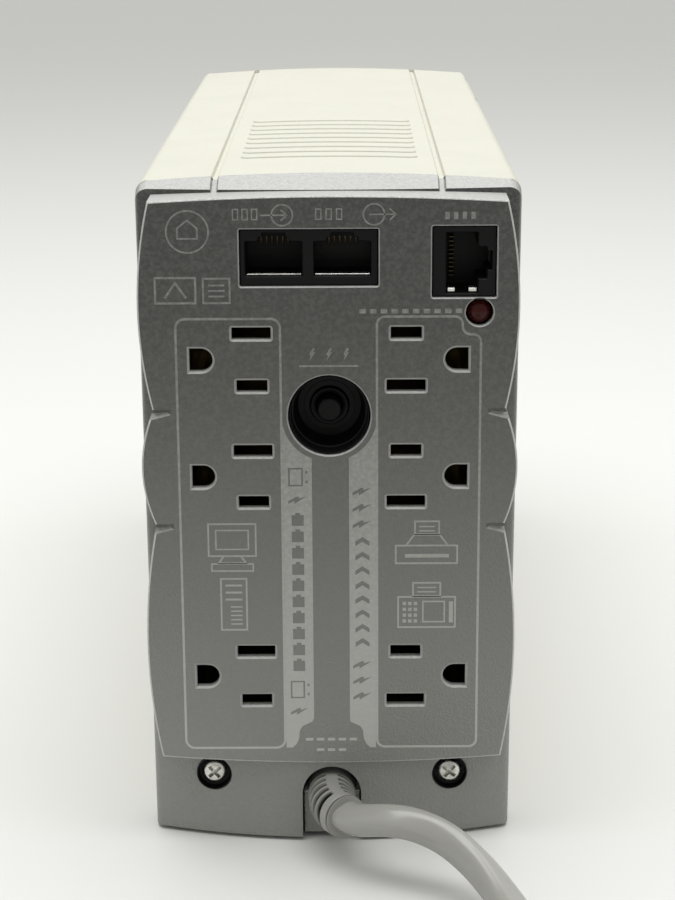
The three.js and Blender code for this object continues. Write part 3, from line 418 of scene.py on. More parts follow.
def smooth_line(points, spacing):
    """Points about spacing apart on the centripetal Catmull-Rom curve through the given ones."""
    pts = [Vector(p) for p in points]
    pts = [2 * pts[0] - pts[1], *pts, 2 * pts[-1] - pts[-2]]
    line = []
    for i in range(1, len(pts) - 2):
        p0, p1, p2, p3 = pts[i - 1:i + 3]
        t1 = math.sqrt((p1 - p0).length)
        t2 = t1 + math.sqrt((p2 - p1).length)
        t3 = t2 + math.sqrt((p3 - p2).length)
        count = max(1, round((p2 - p1).length / spacing))
        for k in range(count):
            t = t1 + (t2 - t1) * k / count
            a1 = p0 * ((t1 - t) / t1) + p1 * (t / t1)
            a2 = p1 * ((t2 - t) / (t2 - t1)) + p2 * ((t - t1) / (t2 - t1))
            a3 = p2 * ((t3 - t) / (t3 - t2)) + p3 * ((t - t2) / (t3 - t2))
            b1 = a1 * ((t2 - t) / t2) + a2 * (t / t2)
            b2 = a2 * ((t3 - t) / (t3 - t1)) + a3 * ((t - t1) / (t3 - t1))
            line.append(b1 * ((t2 - t) / (t2 - t1)) + b2 * ((t - t1) / (t2 - t1)))
    line.append(pts[-2])
    return line


def line_frames(line):
    """For each point of a line: (point, side, up, distance from the start), carried along without twist."""
    frames = []
    side = None
    run = 0.0
    for i, point in enumerate(line):
        along = (line[min(i + 1, len(line) - 1)] - line[max(i - 1, 0)]).normalized()
        if side is None:
            side = along.cross(Vector((0, 0, 1))).normalized()
        side = (side - along * side.dot(along)).normalized()
        if i:
            run += (point - line[i - 1]).length
        frames.append((point, side, side.cross(along) * -1.0, run))
    return frames


def sweep(line, sides, radius):
    """A closed tube along a line: radius is a function of (distance along, angle)."""
    verts = []
    frames = line_frames(line)
    for point, side, up, run in frames:
        for k in range(sides):
            angle = 2 * math.pi * k / sides
            r = radius(run, angle)
            verts.append(point + side * (r * math.cos(angle)) + up * (r * math.sin(angle)))
    faces = tube_faces(len(frames), sides)
    for start, first in ((0, frames[0][0]), (len(verts) - sides, frames[-1][0])):
        centre = len(verts)
        verts.append(first)
        for k in range(sides):
            faces.append((start + k, start + (k + 1) % sides, centre))
    return verts, faces


# -------- mains cord

CORD_R = 4.25 * MM
LAY = 190 * MM                       # length in which the three cores twist once round
RIDGE = 0.34 * MM                    # how far the cores show through the jacket
RUN_POINTS = [mm(*p) for p in (
    (-3.2, 153.9, 12.25), (-4.1, 155.6, 12.45), (-6.2, 158.5, 13.2), (-10.1, 161.8, 14.6), (-15.6, 165, 15.9),
    (-20.7, 167, 15.8), (-27.3, 169.9, 14), (-33.9, 175.9, 10.8), (-39.9, 186.9, 7), (-43.6, 198.5, 5),
    (-45.5, 210, 4.35), (-46.2, 224, 4.35), (-46.25, 238, 4.35), (-46.25, 251.5, 4.35), (-46.25, 265, 4.9),
    (-46.25, 275, 5.5))]
TAIL_POINTS = [mm(*p) for p in (
    (-46.25, 294, 22.65), (-46.25, 305, 22.3), (-46.25, 317, 20.5), (-45.6, 326, 18.2), (-41.5, 336.5, 15.6),
    (-34, 346.5, 13.6), (-24.5, 354.4, 12.7), (-15.5, 357.8, 12.5), (-11, 358, 12.5), (-6.4, 358, 12.5),
    (-4.5, 358, 12.5))]
COIL_CENTRE = mm(5, 284, 0)
COIL_OUTER, COIL_INNER = 51.25 * MM, 42.75 * MM
COIL_LAYERS = (5.65 * MM, 14.15 * MM, 22.65 * MM)
# radius and height of each turn, and the angle round it at which it starts to move over to the next
COIL_TURNS = (
    (COIL_OUTER, COIL_LAYERS[0], 290), (COIL_INNER, COIL_LAYERS[0], 215), (COIL_INNER, COIL_LAYERS[1], 140),
    (COIL_OUTER, COIL_LAYERS[1], 65), (COIL_OUTER, COIL_LAYERS[2], 400))
CROSSING = 70.0                       # degrees a crossing takes


def coil_points():
    """Points round the coil, turn by turn, each with its crossing over to the next turn."""
    points = []
    step = 6
    for degree in range(0, 360 * len(COIL_TURNS) + step, step):
        turn = min(degree // 360, len(COIL_TURNS) - 1)
        radius, height, start = COIL_TURNS[turn]
        beyond = COIL_TURNS[min(turn + 1, len(COIL_TURNS) - 1)]
        t = min(1.0, max(0.0, (degree - 360 * turn - start) / CROSSING))
        t = t * t * (3 - 2 * t)
        angle = math.pi - math.radians(degree)
        r = radius + (beyond[0] - radius) * t
        points.append(COIL_CENTRE + Vector((r * math.cos(angle), r * math.sin(angle),
                                            height + (beyond[1] - height) * t)))
    return points


def make_cord():
    """The whole cord in one sweep, with its three cores showing as a slow twist, and its centre line."""
    line = smooth_line([*RUN_POINTS, *coil_points(), *TAIL_POINTS], 1.6 * MM)

    def radius(run, angle):
        core = RIDGE * math.cos(3 * (angle - 2 * math.pi * run / LAY) + 0.6)
        return CORD_R - RIDGE + core

    verts, faces = sweep(line, 36, radius)
    cord = add_object("mains_cord", verts, faces, "cord_grey", 60)
    return cord, line


cord, cord_line = make_cord()
settle(cord, BODY, "cord_run", "cord_coil", "cord_tail")

# -------- strain relief

RELIEF_PATH = [mm(*p) for p in (
    (0, 133, 11.8), (0, 138, 11.8), (0, 143, 11.8), (-0.5, 147.5, 11.9), (-1.7, 151.3, 12.1),
    (-3.6, 154.6, 12.3))]
RELIEF_BASE_R, RELIEF_TIP_R = 6.2 * MM, 5.35 * MM
RELIEF_SLOTS = (0.36, 0.475, 0.59, 0.705, 0.82)     # places along the sleeve of its flexing slots
RELIEF_LIPS = 0.945                                  # where along the sleeve its two end lips start
SLEEVE_SHADE = 0.1                                    # how much painted shade darkens the whole sleeve against the cord


def relief_radius(share, angle):
    """The sleeve's radius: tapered, with slots that leave a spine along the top and the bottom."""
    radius = RELIEF_BASE_R + (RELIEF_TIP_R - RELIEF_BASE_R) * share
    spine = abs(math.sin(angle))
    for slot in RELIEF_SLOTS:
        across = max(0.0, 1.0 - (abs(share - slot) / 0.034) ** 4)
        reach = min(1.0, max(0.0, (0.965 - spine) / 0.03))
        radius -= 2.6 * MM * min(1.0, across * 2.5) * reach
    return radius


def make_strain_relief():
    """A ribbed sleeve that curves with the cord, and ends in two lips round it."""
    line = smooth_line(RELIEF_PATH, 0.16 * MM)
    length = line_frames(line)[-1][3]
    grooves = []

    def radius(run, angle):
        share = run / length
        whole = RELIEF_BASE_R + (RELIEF_TIP_R - RELIEF_BASE_R) * share
        cut = relief_radius(share, angle)
        if share > RELIEF_LIPS:
            wave = math.sin(math.pi * (share - RELIEF_LIPS) / 0.04) ** 2
            cut = RELIEF_TIP_R - 0.55 * MM * wave * (share < RELIEF_LIPS + 0.04)
        # painted shade: a little over the whole sleeve, nearly black where its slots are cut deep
        grooves.append(SLEEVE_SHADE + (1.0 - SLEEVE_SHADE) * min(1.0, max(0.0, (whole - cut) / (0.35 * MM))))
        return cut

    verts, faces = sweep(line, 96, radius)
    sleeve = add_object("strain_relief_sleeve", verts, faces, "cord_grey", 40)
    tones = sleeve.data.attributes.new("groove", "FLOAT", "POINT")
    for i, tone in enumerate(grooves):
        tones.data[i].value = tone
    return sleeve


relief = make_strain_relief()
settle(relief, BODY, "strain_relief")


# -------- outlines and solids built from them

def corners(*points):
    """An outline of (x, z, radius) corners, in millimetres, each rounded by an arc."""
    outline = []
    count = len(points)
    for i, (x, z, radius) in enumerate(points):
        here = Vector((x, z)) * MM
        if not radius:
            outline.append(here)
            continue
        before = (Vector(points[i - 1][:2]) * MM - here).normalized()
        after = (Vector(points[(i + 1) % count][:2]) * MM - here).normalized()
        half = before.angle(after) / 2
        reach = radius * MM / math.tan(half)
        centre = here + (before + after).normalized() * (radius * MM / math.sin(half))
        start, end = here + before * reach - centre, here + after * reach - centre
        turn = start.angle_signed(end)
        steps = max(2, round(abs(math.degrees(turn)) / 12))
        for k in range(steps + 1):
            angle = -turn * k / steps
            outline.append(centre + Vector((start.x * math.cos(angle) - start.y * math.sin(angle),
                                            start.x * math.sin(angle) + start.y * math.cos(angle))))
    return outline


def rectangle(x0, z0, x1, z1, radius=0.0):
    """An outline from two opposite corners, with every corner rounded by the radius."""
    return corners((x0, z0, radius), (x1, z0, radius), (x1, z1, radius), (x0, z1, radius))


def oblong(half_x, half_z):
    """A rectangle's corners about its middle."""
    return [(-half_x, -half_z), (half_x, -half_z), (half_x, half_z), (-half_x, half_z)]


def circle(x, z, radius, sides=64):
    """A round outline from a middle and a radius in millimetres."""
    return [Vector((x + radius * math.cos(2 * math.pi * k / sides),
                    z + radius * math.sin(2 * math.pi * k / sides))) * MM for k in range(sides)]


def in_metres(points):
    """An outline from (x, z) points in millimetres."""
    return [Vector(p) * MM for p in points]


def area(outline):
    """Twice the area inside an outline, positive where it runs anticlockwise."""
    return sum(a.cross(b) for a, b in zip(outline, outline[1:] + outline[:1]))


def wound(outline):
    """The outline, anticlockwise."""
    return outline if area(outline) > 0 else outline[::-1]


MITRE_LIMIT = 0.35                   # keeps a sharp corner from running far out


def grown(outline, distance, closed=True):
    """An anticlockwise outline moved outwards by a distance in metres, or an open line moved to its right."""
    if not distance:
        return list(outline)
    result, count = [], len(outline)
    for i, here in enumerate(outline):
        d1 = (here - outline[i - 1]).normalized()
        d2 = (outline[(i + 1) % count] - here).normalized()
        if not closed and i == 0:
            d1 = d2
        if not closed and i == count - 1:
            d2 = d1
        n1, n2 = Vector((d1.y, -d1.x)), Vector((d2.y, -d2.x))
        result.append(here + (n1 + n2) * (distance / max(MITRE_LIMIT, 1.0 + n1.dot(n2))))
    return result


def fill_between(bm, rings):
    """Caps the flat region bounded by rings of vertices."""
    edges = []
    for ring in rings:
        for a, b in zip(ring, ring[1:] + ring[:1]):
            edges.append(bm.edges.get((a, b)) or bm.edges.new((a, b)))
    bmesh.ops.triangle_fill(bm, use_beauty=True, use_dissolve=False, edges=edges)


def solid_from_rings(name, loops, slot, place, pockets=(), cuts=(), warp=None):
    """A closed solid. Each loop is a list of rings, and each ring a list of (x, z, depth) of equal length:
    the first rings together bound the front face, and the last rings the back face. A pocket is a loop
    whose last ring is its own floor. cuts are (axis, value) planes that divide it before warp moves it."""
    bm = bmesh.new()
    edge = bm.faces.layers.float.new("edge")
    firsts, lasts = [], []
    for index, rings in enumerate([*loops, *pockets]):
        made = [[bm.verts.new(p) for p in ring] for ring in rings]
        for a, b in zip(made, made[1:]):
            # chamfer faces at the front are marked, for the painted edge highlight
            chamfer = 1.0 if b[0].co.z - made[0][0].co.z < 0.65 * MM else 0.0
            for k in range(len(a)):
                n = (k + 1) % len(a)
                bm.faces.new((a[k], a[n], b[n], b[k]))[edge] = chamfer
        firsts.append(made[0])
        if index < len(loops):
            lasts.append(made[-1])
        else:
            fill_between(bm, [made[-1]])
    fill_between(bm, firsts)
    fill_between(bm, lasts)
    for axis, value in cuts:
        normal = Vector([1.0 if k == axis else 0.0 for k in range(3)])
        bmesh.ops.bisect_plane(bm, geom=bm.verts[:] + bm.edges[:] + bm.faces[:], dist=SAME_POINT,
                               plane_co=normal * value, plane_no=normal)
    for v in bm.verts:
        v.co = place(*(warp(v.co) if warp else v.co))
    mesh = bpy.data.meshes.new(name)
    bm.to_mesh(mesh)
    bm.free()
    return place_mesh(name, mesh, slot)


def stack(outline, *rings):
    """Rings of an outline: each is (distance outwards, depth), in millimetres."""
    outline = wound(outline)
    return [[(p.x, p.y, depth * MM) for p in grown(outline, out * MM)] for out, depth in rings]


def prism(name, outline, steps, slot, place):
    """A solid whose outline changes by the steps given to stack()."""
    return solid_from_rings(name, [stack(outline, *steps)], slot, place)


def on_rear(x, z, depth):
    """A point behind the rear shield's face, in metres."""
    return Vector((x, SHIELD_Y - depth, z))


def on_front(x, z, depth):
    """A point behind the front plane, in metres."""
    return Vector((x, FRONT_Y + depth, z))


def lathe(name, profile, x, z, slot, place, sides=64, smooth_angle=35.0):
    """A turned piece about an axis along Y: profile is (radius, depth) in millimetres, from axis to axis."""
    verts = []
    for radius, depth in profile:
        verts.extend(place(p.x, p.y, depth * MM) for p in circle(x, z, radius, sides))
    return add_object(name, verts, tube_faces(len(profile), sides), slot, smooth_angle)


def carve(piece, *cutters):
    """Cuts other objects out of a piece, then removes them."""
    for cutter in cutters:
        modifier = piece.modifiers.new("cut", "BOOLEAN")
        modifier.operation = "DIFFERENCE"
        modifier.solver = "EXACT"
        modifier.object = cutter
        bpy.context.view_layer.objects.active = piece
        with bpy.context.temp_override(object=piece, active_object=piece):
            bpy.ops.object.modifier_apply(modifier=modifier.name)
        bpy.data.objects.remove(cutter)
    tidy_mesh(piece)
    return piece


def merge(first, *others, name=None):
    """Joins objects into the first one, as separate closed bodies of one mesh, and may rename it."""
    bm = bmesh.new()
    bm.from_mesh(first.data)
    for other in others:
        bm.from_mesh(other.data)
        bpy.data.objects.remove(other)
    bm.to_mesh(first.data)
    bm.free()
    first.name = name or first.name
    return first


# -------- section shared by cover, panel and bezel

GROOVE_X, GROOVE_HALF, GROOVE_DEEP = 26.8, 0.65, 0.9
CROWN_Z, SHOULDER_Z = 165.6, 163.9
CORNER_R = 3.2


def half_width(z):
    """Half the body's width at a height, both in millimetres."""
    return 44.5 + 1.3 * z / CROWN_Z


def crown(x):
    """Height of the body's top at a distance from its middle, both in millimetres."""
    return CROWN_Z - (CROWN_Z - SHOULDER_Z) * (x / 43.0) ** 2


def groove_dip(x):
    """Depth of the styling groove at x: straight walls with a slightly rounded edge and floor."""
    off = abs(abs(x) - GROOVE_X)
    if off >= GROOVE_HALF + 0.3:
        return 0.0
    if off <= GROOVE_HALF - 0.1:
        return GROOVE_DEEP
    t = (GROOVE_HALF + 0.3 - off) / 0.4
    return GROOVE_DEEP * t * t * (3 - 2 * t) if t < 1 else GROOVE_DEEP


def crown_stations():
    """Places across the top, close together at the grooves."""
    stations = {round(-42.0 + 3.0 * k, 3) for k in range(29)}
    stations = {x for x in stations if abs(abs(x) - GROOVE_X) > 1.6}
    for side in (-1, 1):
        for off in (-1.0, -0.95, -0.85, -0.75, -0.65, -0.55, 0.0, 0.55, 0.65, 0.75, 0.85, 0.95, 1.0):
            stations.add(round(side * (GROOVE_X + off), 3))
    return sorted(stations)


def section(bottom_z, inset=0.0, grooves=True):
    """The body's outline in millimetres, from the bottom left over the crown to the bottom right."""
    side = half_width(CROWN_Z) - inset
    right = []
    steps = 6
    for k in range(steps + 1):
        angle = math.radians(76 * (1 - k / steps))
        x = side - CORNER_R + CORNER_R * math.cos(angle)
        z = SHOULDER_Z + 0.12 - inset - CORNER_R * math.sin(math.radians(76)) + CORNER_R * math.sin(angle)
        right.append((x, z))
    right.extend((half_width(z) - inset, z) for z in (150.0, 110.0, 70.0, 30.0))
    right.append((half_width(bottom_z) - inset, bottom_z))
    top = [(x, crown(x) - inset - (groove_dip(x) if grooves else 0.0)) for x in crown_stations()]
    top = [p for p in top if abs(p[0]) < right[0][0] - 0.4]
    left = [(-x, z) for x, z in right]
    return [*left[::-1], *top, *right]


# -------- cover

RIB_COUNT, RIB_PITCH, RIB_FIRST, RIB_HALF, RIB_WIDE, RIB_HIGH = 9, 8.93, 43.9, 22.0, 4.4, 0.45


NOTCH_DEPTHS = (187.0, 247.0)        # edge notches, measured forwards from the shield's face
COVER_BOTTOM_Z = 6.0
EDGE_FALL = 0.22                     # how far the cover's front and back edges are rounded off


def upright(x, y, z):
    """A point of an outline that lies in x and y, with its depth measured upwards."""
    return Vector((x, y, z))


def make_rib(index):
    """One raised cross rib on the top: a bar with rounded edges and ends, sunk into the crown."""
    middle = SHIELD_Y / MM - RIB_FIRST - index * RIB_PITCH
    half = RIB_WIDE / 2
    outline = rectangle(-RIB_HALF, middle - half, RIB_HALF, middle + half, half - 0.05)
    rings = stack(outline, (-0.45, RIB_HIGH), (-0.22, RIB_HIGH - 0.06), (-0.06, RIB_HIGH - 0.22),
                  (0.0, RIB_HIGH - 0.42), (0.0, -0.8))
    slices = [(0, x * MM) for x in range(-20, 21, 4)]
    return solid_from_rings("rib", [rings], "cream_shell", upright, cuts=slices,
                            warp=lambda p: (p.x, p.y, p.z + crown(p.x / MM) * MM))


def make_cover():
    """The cover: an outer skin with its grooves, a plain inner one, ribs on top and notches in one edge."""
    outer = in_metres(section(COVER_BOTTOM_Z))
    inner = in_metres(section(COVER_BOTTOM_Z, SHELL_WALL, grooves=False))
    ends = [(0.02, -EDGE_FALL), (0.1, -EDGE_FALL * 0.3), (0.35, 0.0)]
    rows = [(SEAM_Y - back * MM, grow) for back, grow in ends]
    rows += [(SEAM_Y + (COVER_FRONT_Y - SEAM_Y) * k / 12, 0.0) for k in range(1, 12)]
    rows += [(COVER_FRONT_Y + back * MM, grow) for back, grow in ends[::-1]]
    verts = [Vector((p.x, y, p.y)) for y, grow in rows for p in grown(outer, -grow * MM, closed=False)]
    faces = grid_faces(len(rows), len(outer)) + grid_faces(2, len(inner), len(verts))
    verts += [Vector((p.x, y, p.y)) for y in (rows[-1][0], rows[0][0]) for p in inner]
    shell = add_object("outer_cover_shell", verts, faces, "cream_shell")
    close_shell(shell)
    ribs = [make_rib(i) for i in range(RIB_COUNT)]
    notches = []
    for depth in NOTCH_DEPTHS:
        y = SHIELD_Y / MM - depth
        outline = corners((-46.8, y - 5.0, 0.0), (-44.7, y - 5.0, 0.6), (-44.7, y + 5.0, 0.6),
                          (-46.8, y + 5.0, 0.0))
        notches.append(prism("notch", outline, ((0, 158.5), (0, 170.0)), "cream_shell", upright))
    carve(shell, *notches)
    return merge(shell, *ribs)


def close_shell(piece):
    """Closes the gap between the open boundary edges of an outer and an inner skin."""
    bm = bmesh.new()
    bm.from_mesh(piece.data)
    open_edges = [e for e in bm.edges if e.is_boundary]
    bmesh.ops.bridge_loops(bm, edges=open_edges)
    bm.to_mesh(piece.data)
    bm.free()
    tidy_mesh(piece)


settle(make_cover(), BODY, "outer_cover")


# -------- rear panel

SEAM_DEPTH = 15.0
RIM_TOP_Z = 162.3
SHIELD_TOP_Z, SHIELD_BOTTOM_Z = 162.5, 21.0
CUSPS = (161.2, 111.35, 82.9, 22.8)
CUSP_X, LOBE, SHIELD_WALL = 41.8, 3.0, 2.2
DIMPLE_REACH = 5.2                   # how far a dimple runs in from the shield's edge
OUTLET_ROWS = (123.7, 95.1, 44.2)
BLADE_X, BLADE_HALF_PITCH, GROUND_X, GROUND_R = 18.2, 6.35, 30.1, 2.78
WIDE_SLOT, NARROW_SLOT, SLOT_HIGH = 9.2, 7.3, 2.85
WELL_Z, WELL_R = 110.1, 9.8
PHONE = (-11.7, 141.2, 20.7, 154.7)
DATA = (-39.2, 138.4, -24.1, 155.3)
LAMP_X, LAMP_Z, LAMP_R = -35.3, 134.9, 3.0
SCREW_X, SCREW_Z, RECESS_R = 29.4, 16.7, 4.42
NOTCH_HALF, NOTCH_TOP_Z = 7.3, 19.8


def rim_depth(x, z):
    """Depth of the bulged rear shell behind the shield's face, in millimetres."""
    t = z / RIM_TOP_Z
    return (-0.4 + 7.7 * t) + (7.8 - 3.4 * t) * (x / 44.5) ** 2


def shield_outline():
    """The raised shield: lobes between cusps down both sides, and a shallow arc above and below."""
    right = []
    for high, low in zip(CUSPS, CUSPS[1:]):
        steps = 20 if high - low > 40 else 14
        for i in range(steps):
            t = i / steps
            right.append((CUSP_X + LOBE * 4 * t * (1 - t), high + (low - high) * t))
    right.append((CUSP_X, CUSPS[-1]))
    across = [CUSP_X * (1 - 2 * i / 16) for i in range(1, 16)]
    bottom = [(x, CUSPS[-1] - (CUSPS[-1] - SHIELD_BOTTOM_Z) * (1 - (x / CUSP_X) ** 2)) for x in across]
    top = [(-x, CUSPS[0] + (SHIELD_TOP_Z - CUSPS[0]) * (1 - (x / CUSP_X) ** 2)) for x in across]
    left = [(-x, z) for x, z in right[::-1]]
    return in_metres([*right, *bottom, *left, *top])


def slot_outline(x, z, width):
    """A blade slot about its middle."""
    return rectangle(x - width / 2, z - SLOT_HIGH / 2, x + width / 2, z + SLOT_HIGH / 2, 0.2)


def ground_outline(side, z):
    """A D: flat on the outer side and half round towards the middle of the panel."""
    points = [(GROUND_X + 2.75, z - GROUND_R), (GROUND_X + 2.75, z + GROUND_R)]
    for k in range(17):
        angle = math.pi / 2 + math.pi * k / 16
        points.append((GROUND_X + 0.02 + GROUND_R * math.cos(angle), z + GROUND_R * math.sin(angle)))
    return in_metres([(side * x, z) for x, z in points])


OUTLET_STEPS = ((0.5, 0), (0.42, 0.04), (0.05, 0.38), (0, 0.46), (0, SHIELD_WALL))


def outlet_openings():
    """Every blade slot and ground hole, chamfered at the face."""
    loops = []
    for side in (1, -1):
        for row in OUTLET_ROWS:
            for blade in (1, -1):
                width = WIDE_SLOT if blade * side > 0 else NARROW_SLOT
                outline = slot_outline(side * BLADE_X, row + blade * BLADE_HALF_PITCH, width)
                loops.append(stack(outline, *OUTLET_STEPS))
            loops.append(stack(ground_outline(side, row), *OUTLET_STEPS))
    return loops


def make_shield():
    """The raised face with every opening, chamfered at its edges, over its own skirt."""
    outer = stack(shield_outline(), (-0.42, 0), (-0.3, 0.04), (-0.06, 0.26), (0, 0.42), (0, 5.0), (0, 13.0),
                  (-1.5, 13.0), (-1.5, SHIELD_WALL))
    plain = [rectangle(*PHONE, 0.4), rectangle(*DATA, 0.4), circle(0, WELL_Z, WELL_R, 96),
             circle(LAMP_X, LAMP_Z, LAMP_R + 0.25, 48)]
    holes = [stack(o, (0.3, 0), (0.22, 0.04), (0.03, 0.24), (0, 0.32), (0, SHIELD_WALL)) for o in plain]
    piece = solid_from_rings("rear_panel_shell", [outer, *outlet_openings(), *holes], "panel_grey", on_rear)
    return carve(piece, *[make_dimple(side, z) for side in (1, -1) for z in CUSPS[1:3]])


def make_dimple(side, z):
    """The notch pressed into the face at a cusp: a level upper edge, deepest at the shield's own edge."""
    tip, out = CUSP_X + 0.9 - DIMPLE_REACH, CUSP_X + 3.5
    outline = ((tip, 0.4), (tip, -0.9), (out, -3.0), (out, 0.5))
    floor = ((tip + 0.9, 0.15, 0.5), (tip + 0.9, -0.3, 0.5), (out, -1.3, 2.2), (out, 0.2, 2.2))
    rows = [[(x, dz, depth) for x, dz in outline] for depth in (-0.6, 0.0)] + [floor]
    verts = [on_rear(side * x * MM, (z + dz) * MM, depth * MM) for row in rows for x, dz, depth in row]
    faces = [(0, 1, 2, 3), (8, 11, 10, 9)]
    for level in (0, 4):
        for k in range(4):
            n = (k + 1) % 4
            faces.append((level + k, level + 4 + k, level + 4 + n, level + n))
    return add_object("dimple", verts, faces, "panel_grey")


def edge_rounding(beyond, radius):
    """How far a rounded edge has fallen back, at a distance past where its rounding starts."""
    t = min(max(beyond / radius, 0.0), 1.0)
    return radius * (1.0 - math.sqrt(max(1.0 - t * t, 0.0)))


def cap_columns():
    """Places across the cap as (share of the half width, drop of the top corner), close at the corners."""
    side = half_width(SHOULDER_Z)
    columns = [(x / side, 0.0) for x in crown_stations() if abs(x) < side - CORNER_R - 0.4]
    for k in range(9):
        angle = math.radians(90 - 11.25 * k)
        share = (side - CORNER_R + CORNER_R * math.cos(angle)) / side
        drop = CORNER_R * (1 - math.sin(angle))
        columns.extend([(share, drop), (-share, drop)])
    return sorted(columns)


def cap_point(share, drop, t, inset):
    """A point of the rear shell's face as (x, z, depth) in millimetres: t is 0 at its foot and 1 on top."""
    top_x = share * half_width(SHOULDER_Z)
    top = crown(top_x) - drop - inset - (0 if inset else groove_dip(top_x))
    slope = 0.36 * (SEAM_DEPTH - rim_depth(top_x, 162.0))
    foot = 0.8 + inset
    z = foot + (top - slope - foot) * t
    limit = half_width(z) - inset
    x = share * limit
    depth = rim_depth(x, z) + inset
    if not inset:
        depth += edge_rounding(abs(x) - (limit - 1.6), 1.6) + edge_rounding(foot + 0.5 - z, 0.5)
        depth += edge_rounding(z - (top - slope - 0.25), 0.25)
    return x, z, depth


def make_hollow(name, columns, levels, skin, seam, slot, place):
    """A moulding with an open back: an outer and an inner skin, each carried back from its border and joined
    there. skin and seam give a point as (x, z, depth) in millimetres for (share, drop, t, inset)."""
    rows, width = len(levels), len(columns)
    border = [(0, c) for c in range(width)] + [(r, width - 1) for r in range(1, rows)]
    border += [(rows - 1, c) for c in range(width - 2, -1, -1)] + [(r, 0) for r in range(rows - 2, 0, -1)]
    points, rim = [], []
    for inset in (0.0, SHELL_WALL):
        points += [skin(*column, t, inset) for t in levels for column in columns]
        rim += [seam(*columns[c], levels[r], inset) for r, c in border]
    count, start = len(border), len(points)
    faces = []
    for shell in (0, 1):
        base, back = shell * rows * width, start + shell * count
        faces += grid_faces(rows, width, base)
        at = [base + r * width + c for r, c in border]
        faces += [(at[k], at[(k + 1) % count], back + (k + 1) % count, back + k) for k in range(count)]
    faces += [(start + k, start + (k + 1) % count, start + count + (k + 1) % count, start + count + k)
              for k in range(count)]
    verts = [place(*(Vector(point) * MM)) for point in points + rim]
    return add_object(name, verts, faces, slot)


def cap_seam(share, drop, t, inset):
    """Where the rear shell meets the cover, behind a point of its border."""
    if t < 1.0:
        x, z, _ = cap_point(share, drop, t, inset)
        return x, z, SEAM_DEPTH
    top_x = share * half_width(SHOULDER_Z)
    z = crown(top_x) - drop - inset - (0 if inset else groove_dip(top_x))
    return share * (half_width(SHOULDER_Z) - inset), z, SEAM_DEPTH


def make_cap():
    """The shell behind the shield: bulged face, sides, the sloping rim on top, and a hollow back."""
    levels = [0.0, 0.0006, 0.0015, *(0.003 + 0.994 * k / 24 for k in range(25)), 0.9985, 0.9993, 1.0]
    cap = make_hollow("rear_panel_cap", cap_columns(), levels, cap_point, cap_seam, "panel_grey", on_rear)
    behind = in_metres([(-38, 24.5), (38, 24.5), (38, 151), (33, 156.5), (-33, 156.5), (-38, 151)])
    arch = [(NOTCH_HALF * math.cos(math.pi * k / 24), NOTCH_TOP_Z - NOTCH_HALF
             + NOTCH_HALF * math.sin(math.pi * k / 24)) for k in range(25)]
    notch = in_metres([(-NOTCH_HALF, -3), (NOTCH_HALF, -3), *arch])
    cutters = [prism("hollow", behind, ((0, -3), (0, 16)), "panel_grey", on_rear),
               prism("notch", notch, ((0, -4), (0, 13.5)), "panel_grey", on_rear)]
    half = NOTCH_HALF - 0.45             # the plate under the strain relief stands just inside the notch
    bosses = [prism("relief_plate", rectangle(-half, 1.4, half, 12.6), ((-0.2, 2.0), (0, 2.2), (0, 9.0)),
                    "panel_grey", on_rear),
              prism("arch_back", in_metres(arch), ((0.3, 7.6), (0.3, 9.0)), "panel_grey", on_rear)]
    seat, outer = 6.2, RECESS_R + 1.4    # depth and outside radius of the cup that a screw sits in
    for x in (-SCREW_X, SCREW_X):
        recess = circle(x, SCREW_Z, RECESS_R)
        cutters.append(prism("recess", recess, ((0, -3), (0, 7.4)), "panel_grey", on_rear))
        floor = [(2.1, seat), (outer, seat), (outer, 12.0), (2.1, 12.0), (2.1, seat)]
        wall = [(RECESS_R, 5.4), (outer, 5.0), (outer, 12.0), (RECESS_R, 12.0), (RECESS_R, 5.0)]
        bosses += [lathe("boss", profile, x, SCREW_Z, "panel_grey", on_rear) for profile in (floor, wall)]
    return merge(carve(cap, *cutters), *bosses)


DULL_EDGE = 0.6                      # the openings' edges keep this share of the painted edge highlight that the shield's own edge has
# share of painted shade in the dimples
DIMPLE_SHADE = 0.55


def tone_rear_panel(piece):
    """Marks the arch and the dimples for painted shade, and dims the painted highlight on the edges of the
    openings.
    """
    mesh = piece.data
    recess = mesh.attributes.new("recess", "FLOAT", "FACE")
    edge = mesh.attributes["edge"]
    for face in mesh.polygons:
        x, _, z = face.center / MM
        # painted shade on the faces in and behind the cord notch
        in_arch = abs(x) < NOTCH_HALF + 0.4 and z < NOTCH_TOP_Z + 0.4
        deep = abs(face.normal.y) < 0.5 or face.center.y < SHIELD_Y - 5 * MM
        recess.data[face.index].value = 1.0 if in_arch and deep else 0.0
        # dims the painted edge highlight on the openings away from the shield's own edge
        if abs(x) < CUSP_X - 1.5 and SHIELD_BOTTOM_Z + 3 < z < CUSPS[0] - 2:
            edge.data[face.index].value *= DULL_EDGE
        # painted shade on the dimples' floors by the cusps
        by_cusp = min(abs(z + 0.9 - cusp) for cusp in CUSPS[1:3]) < 2.2 and abs(x) > CUSP_X - DIMPLE_REACH
        if by_cusp and 0.1 * MM < SHIELD_Y - face.center.y < 2.2 * MM and edge.data[face.index].value < 0.1:
            recess.data[face.index].value = DIMPLE_SHADE


rear_panel = merge(make_shield(), make_cap())
tone_rear_panel(rear_panel)
settle(rear_panel, BODY, "rear_panel")


# -------- screws, reset well and lamp

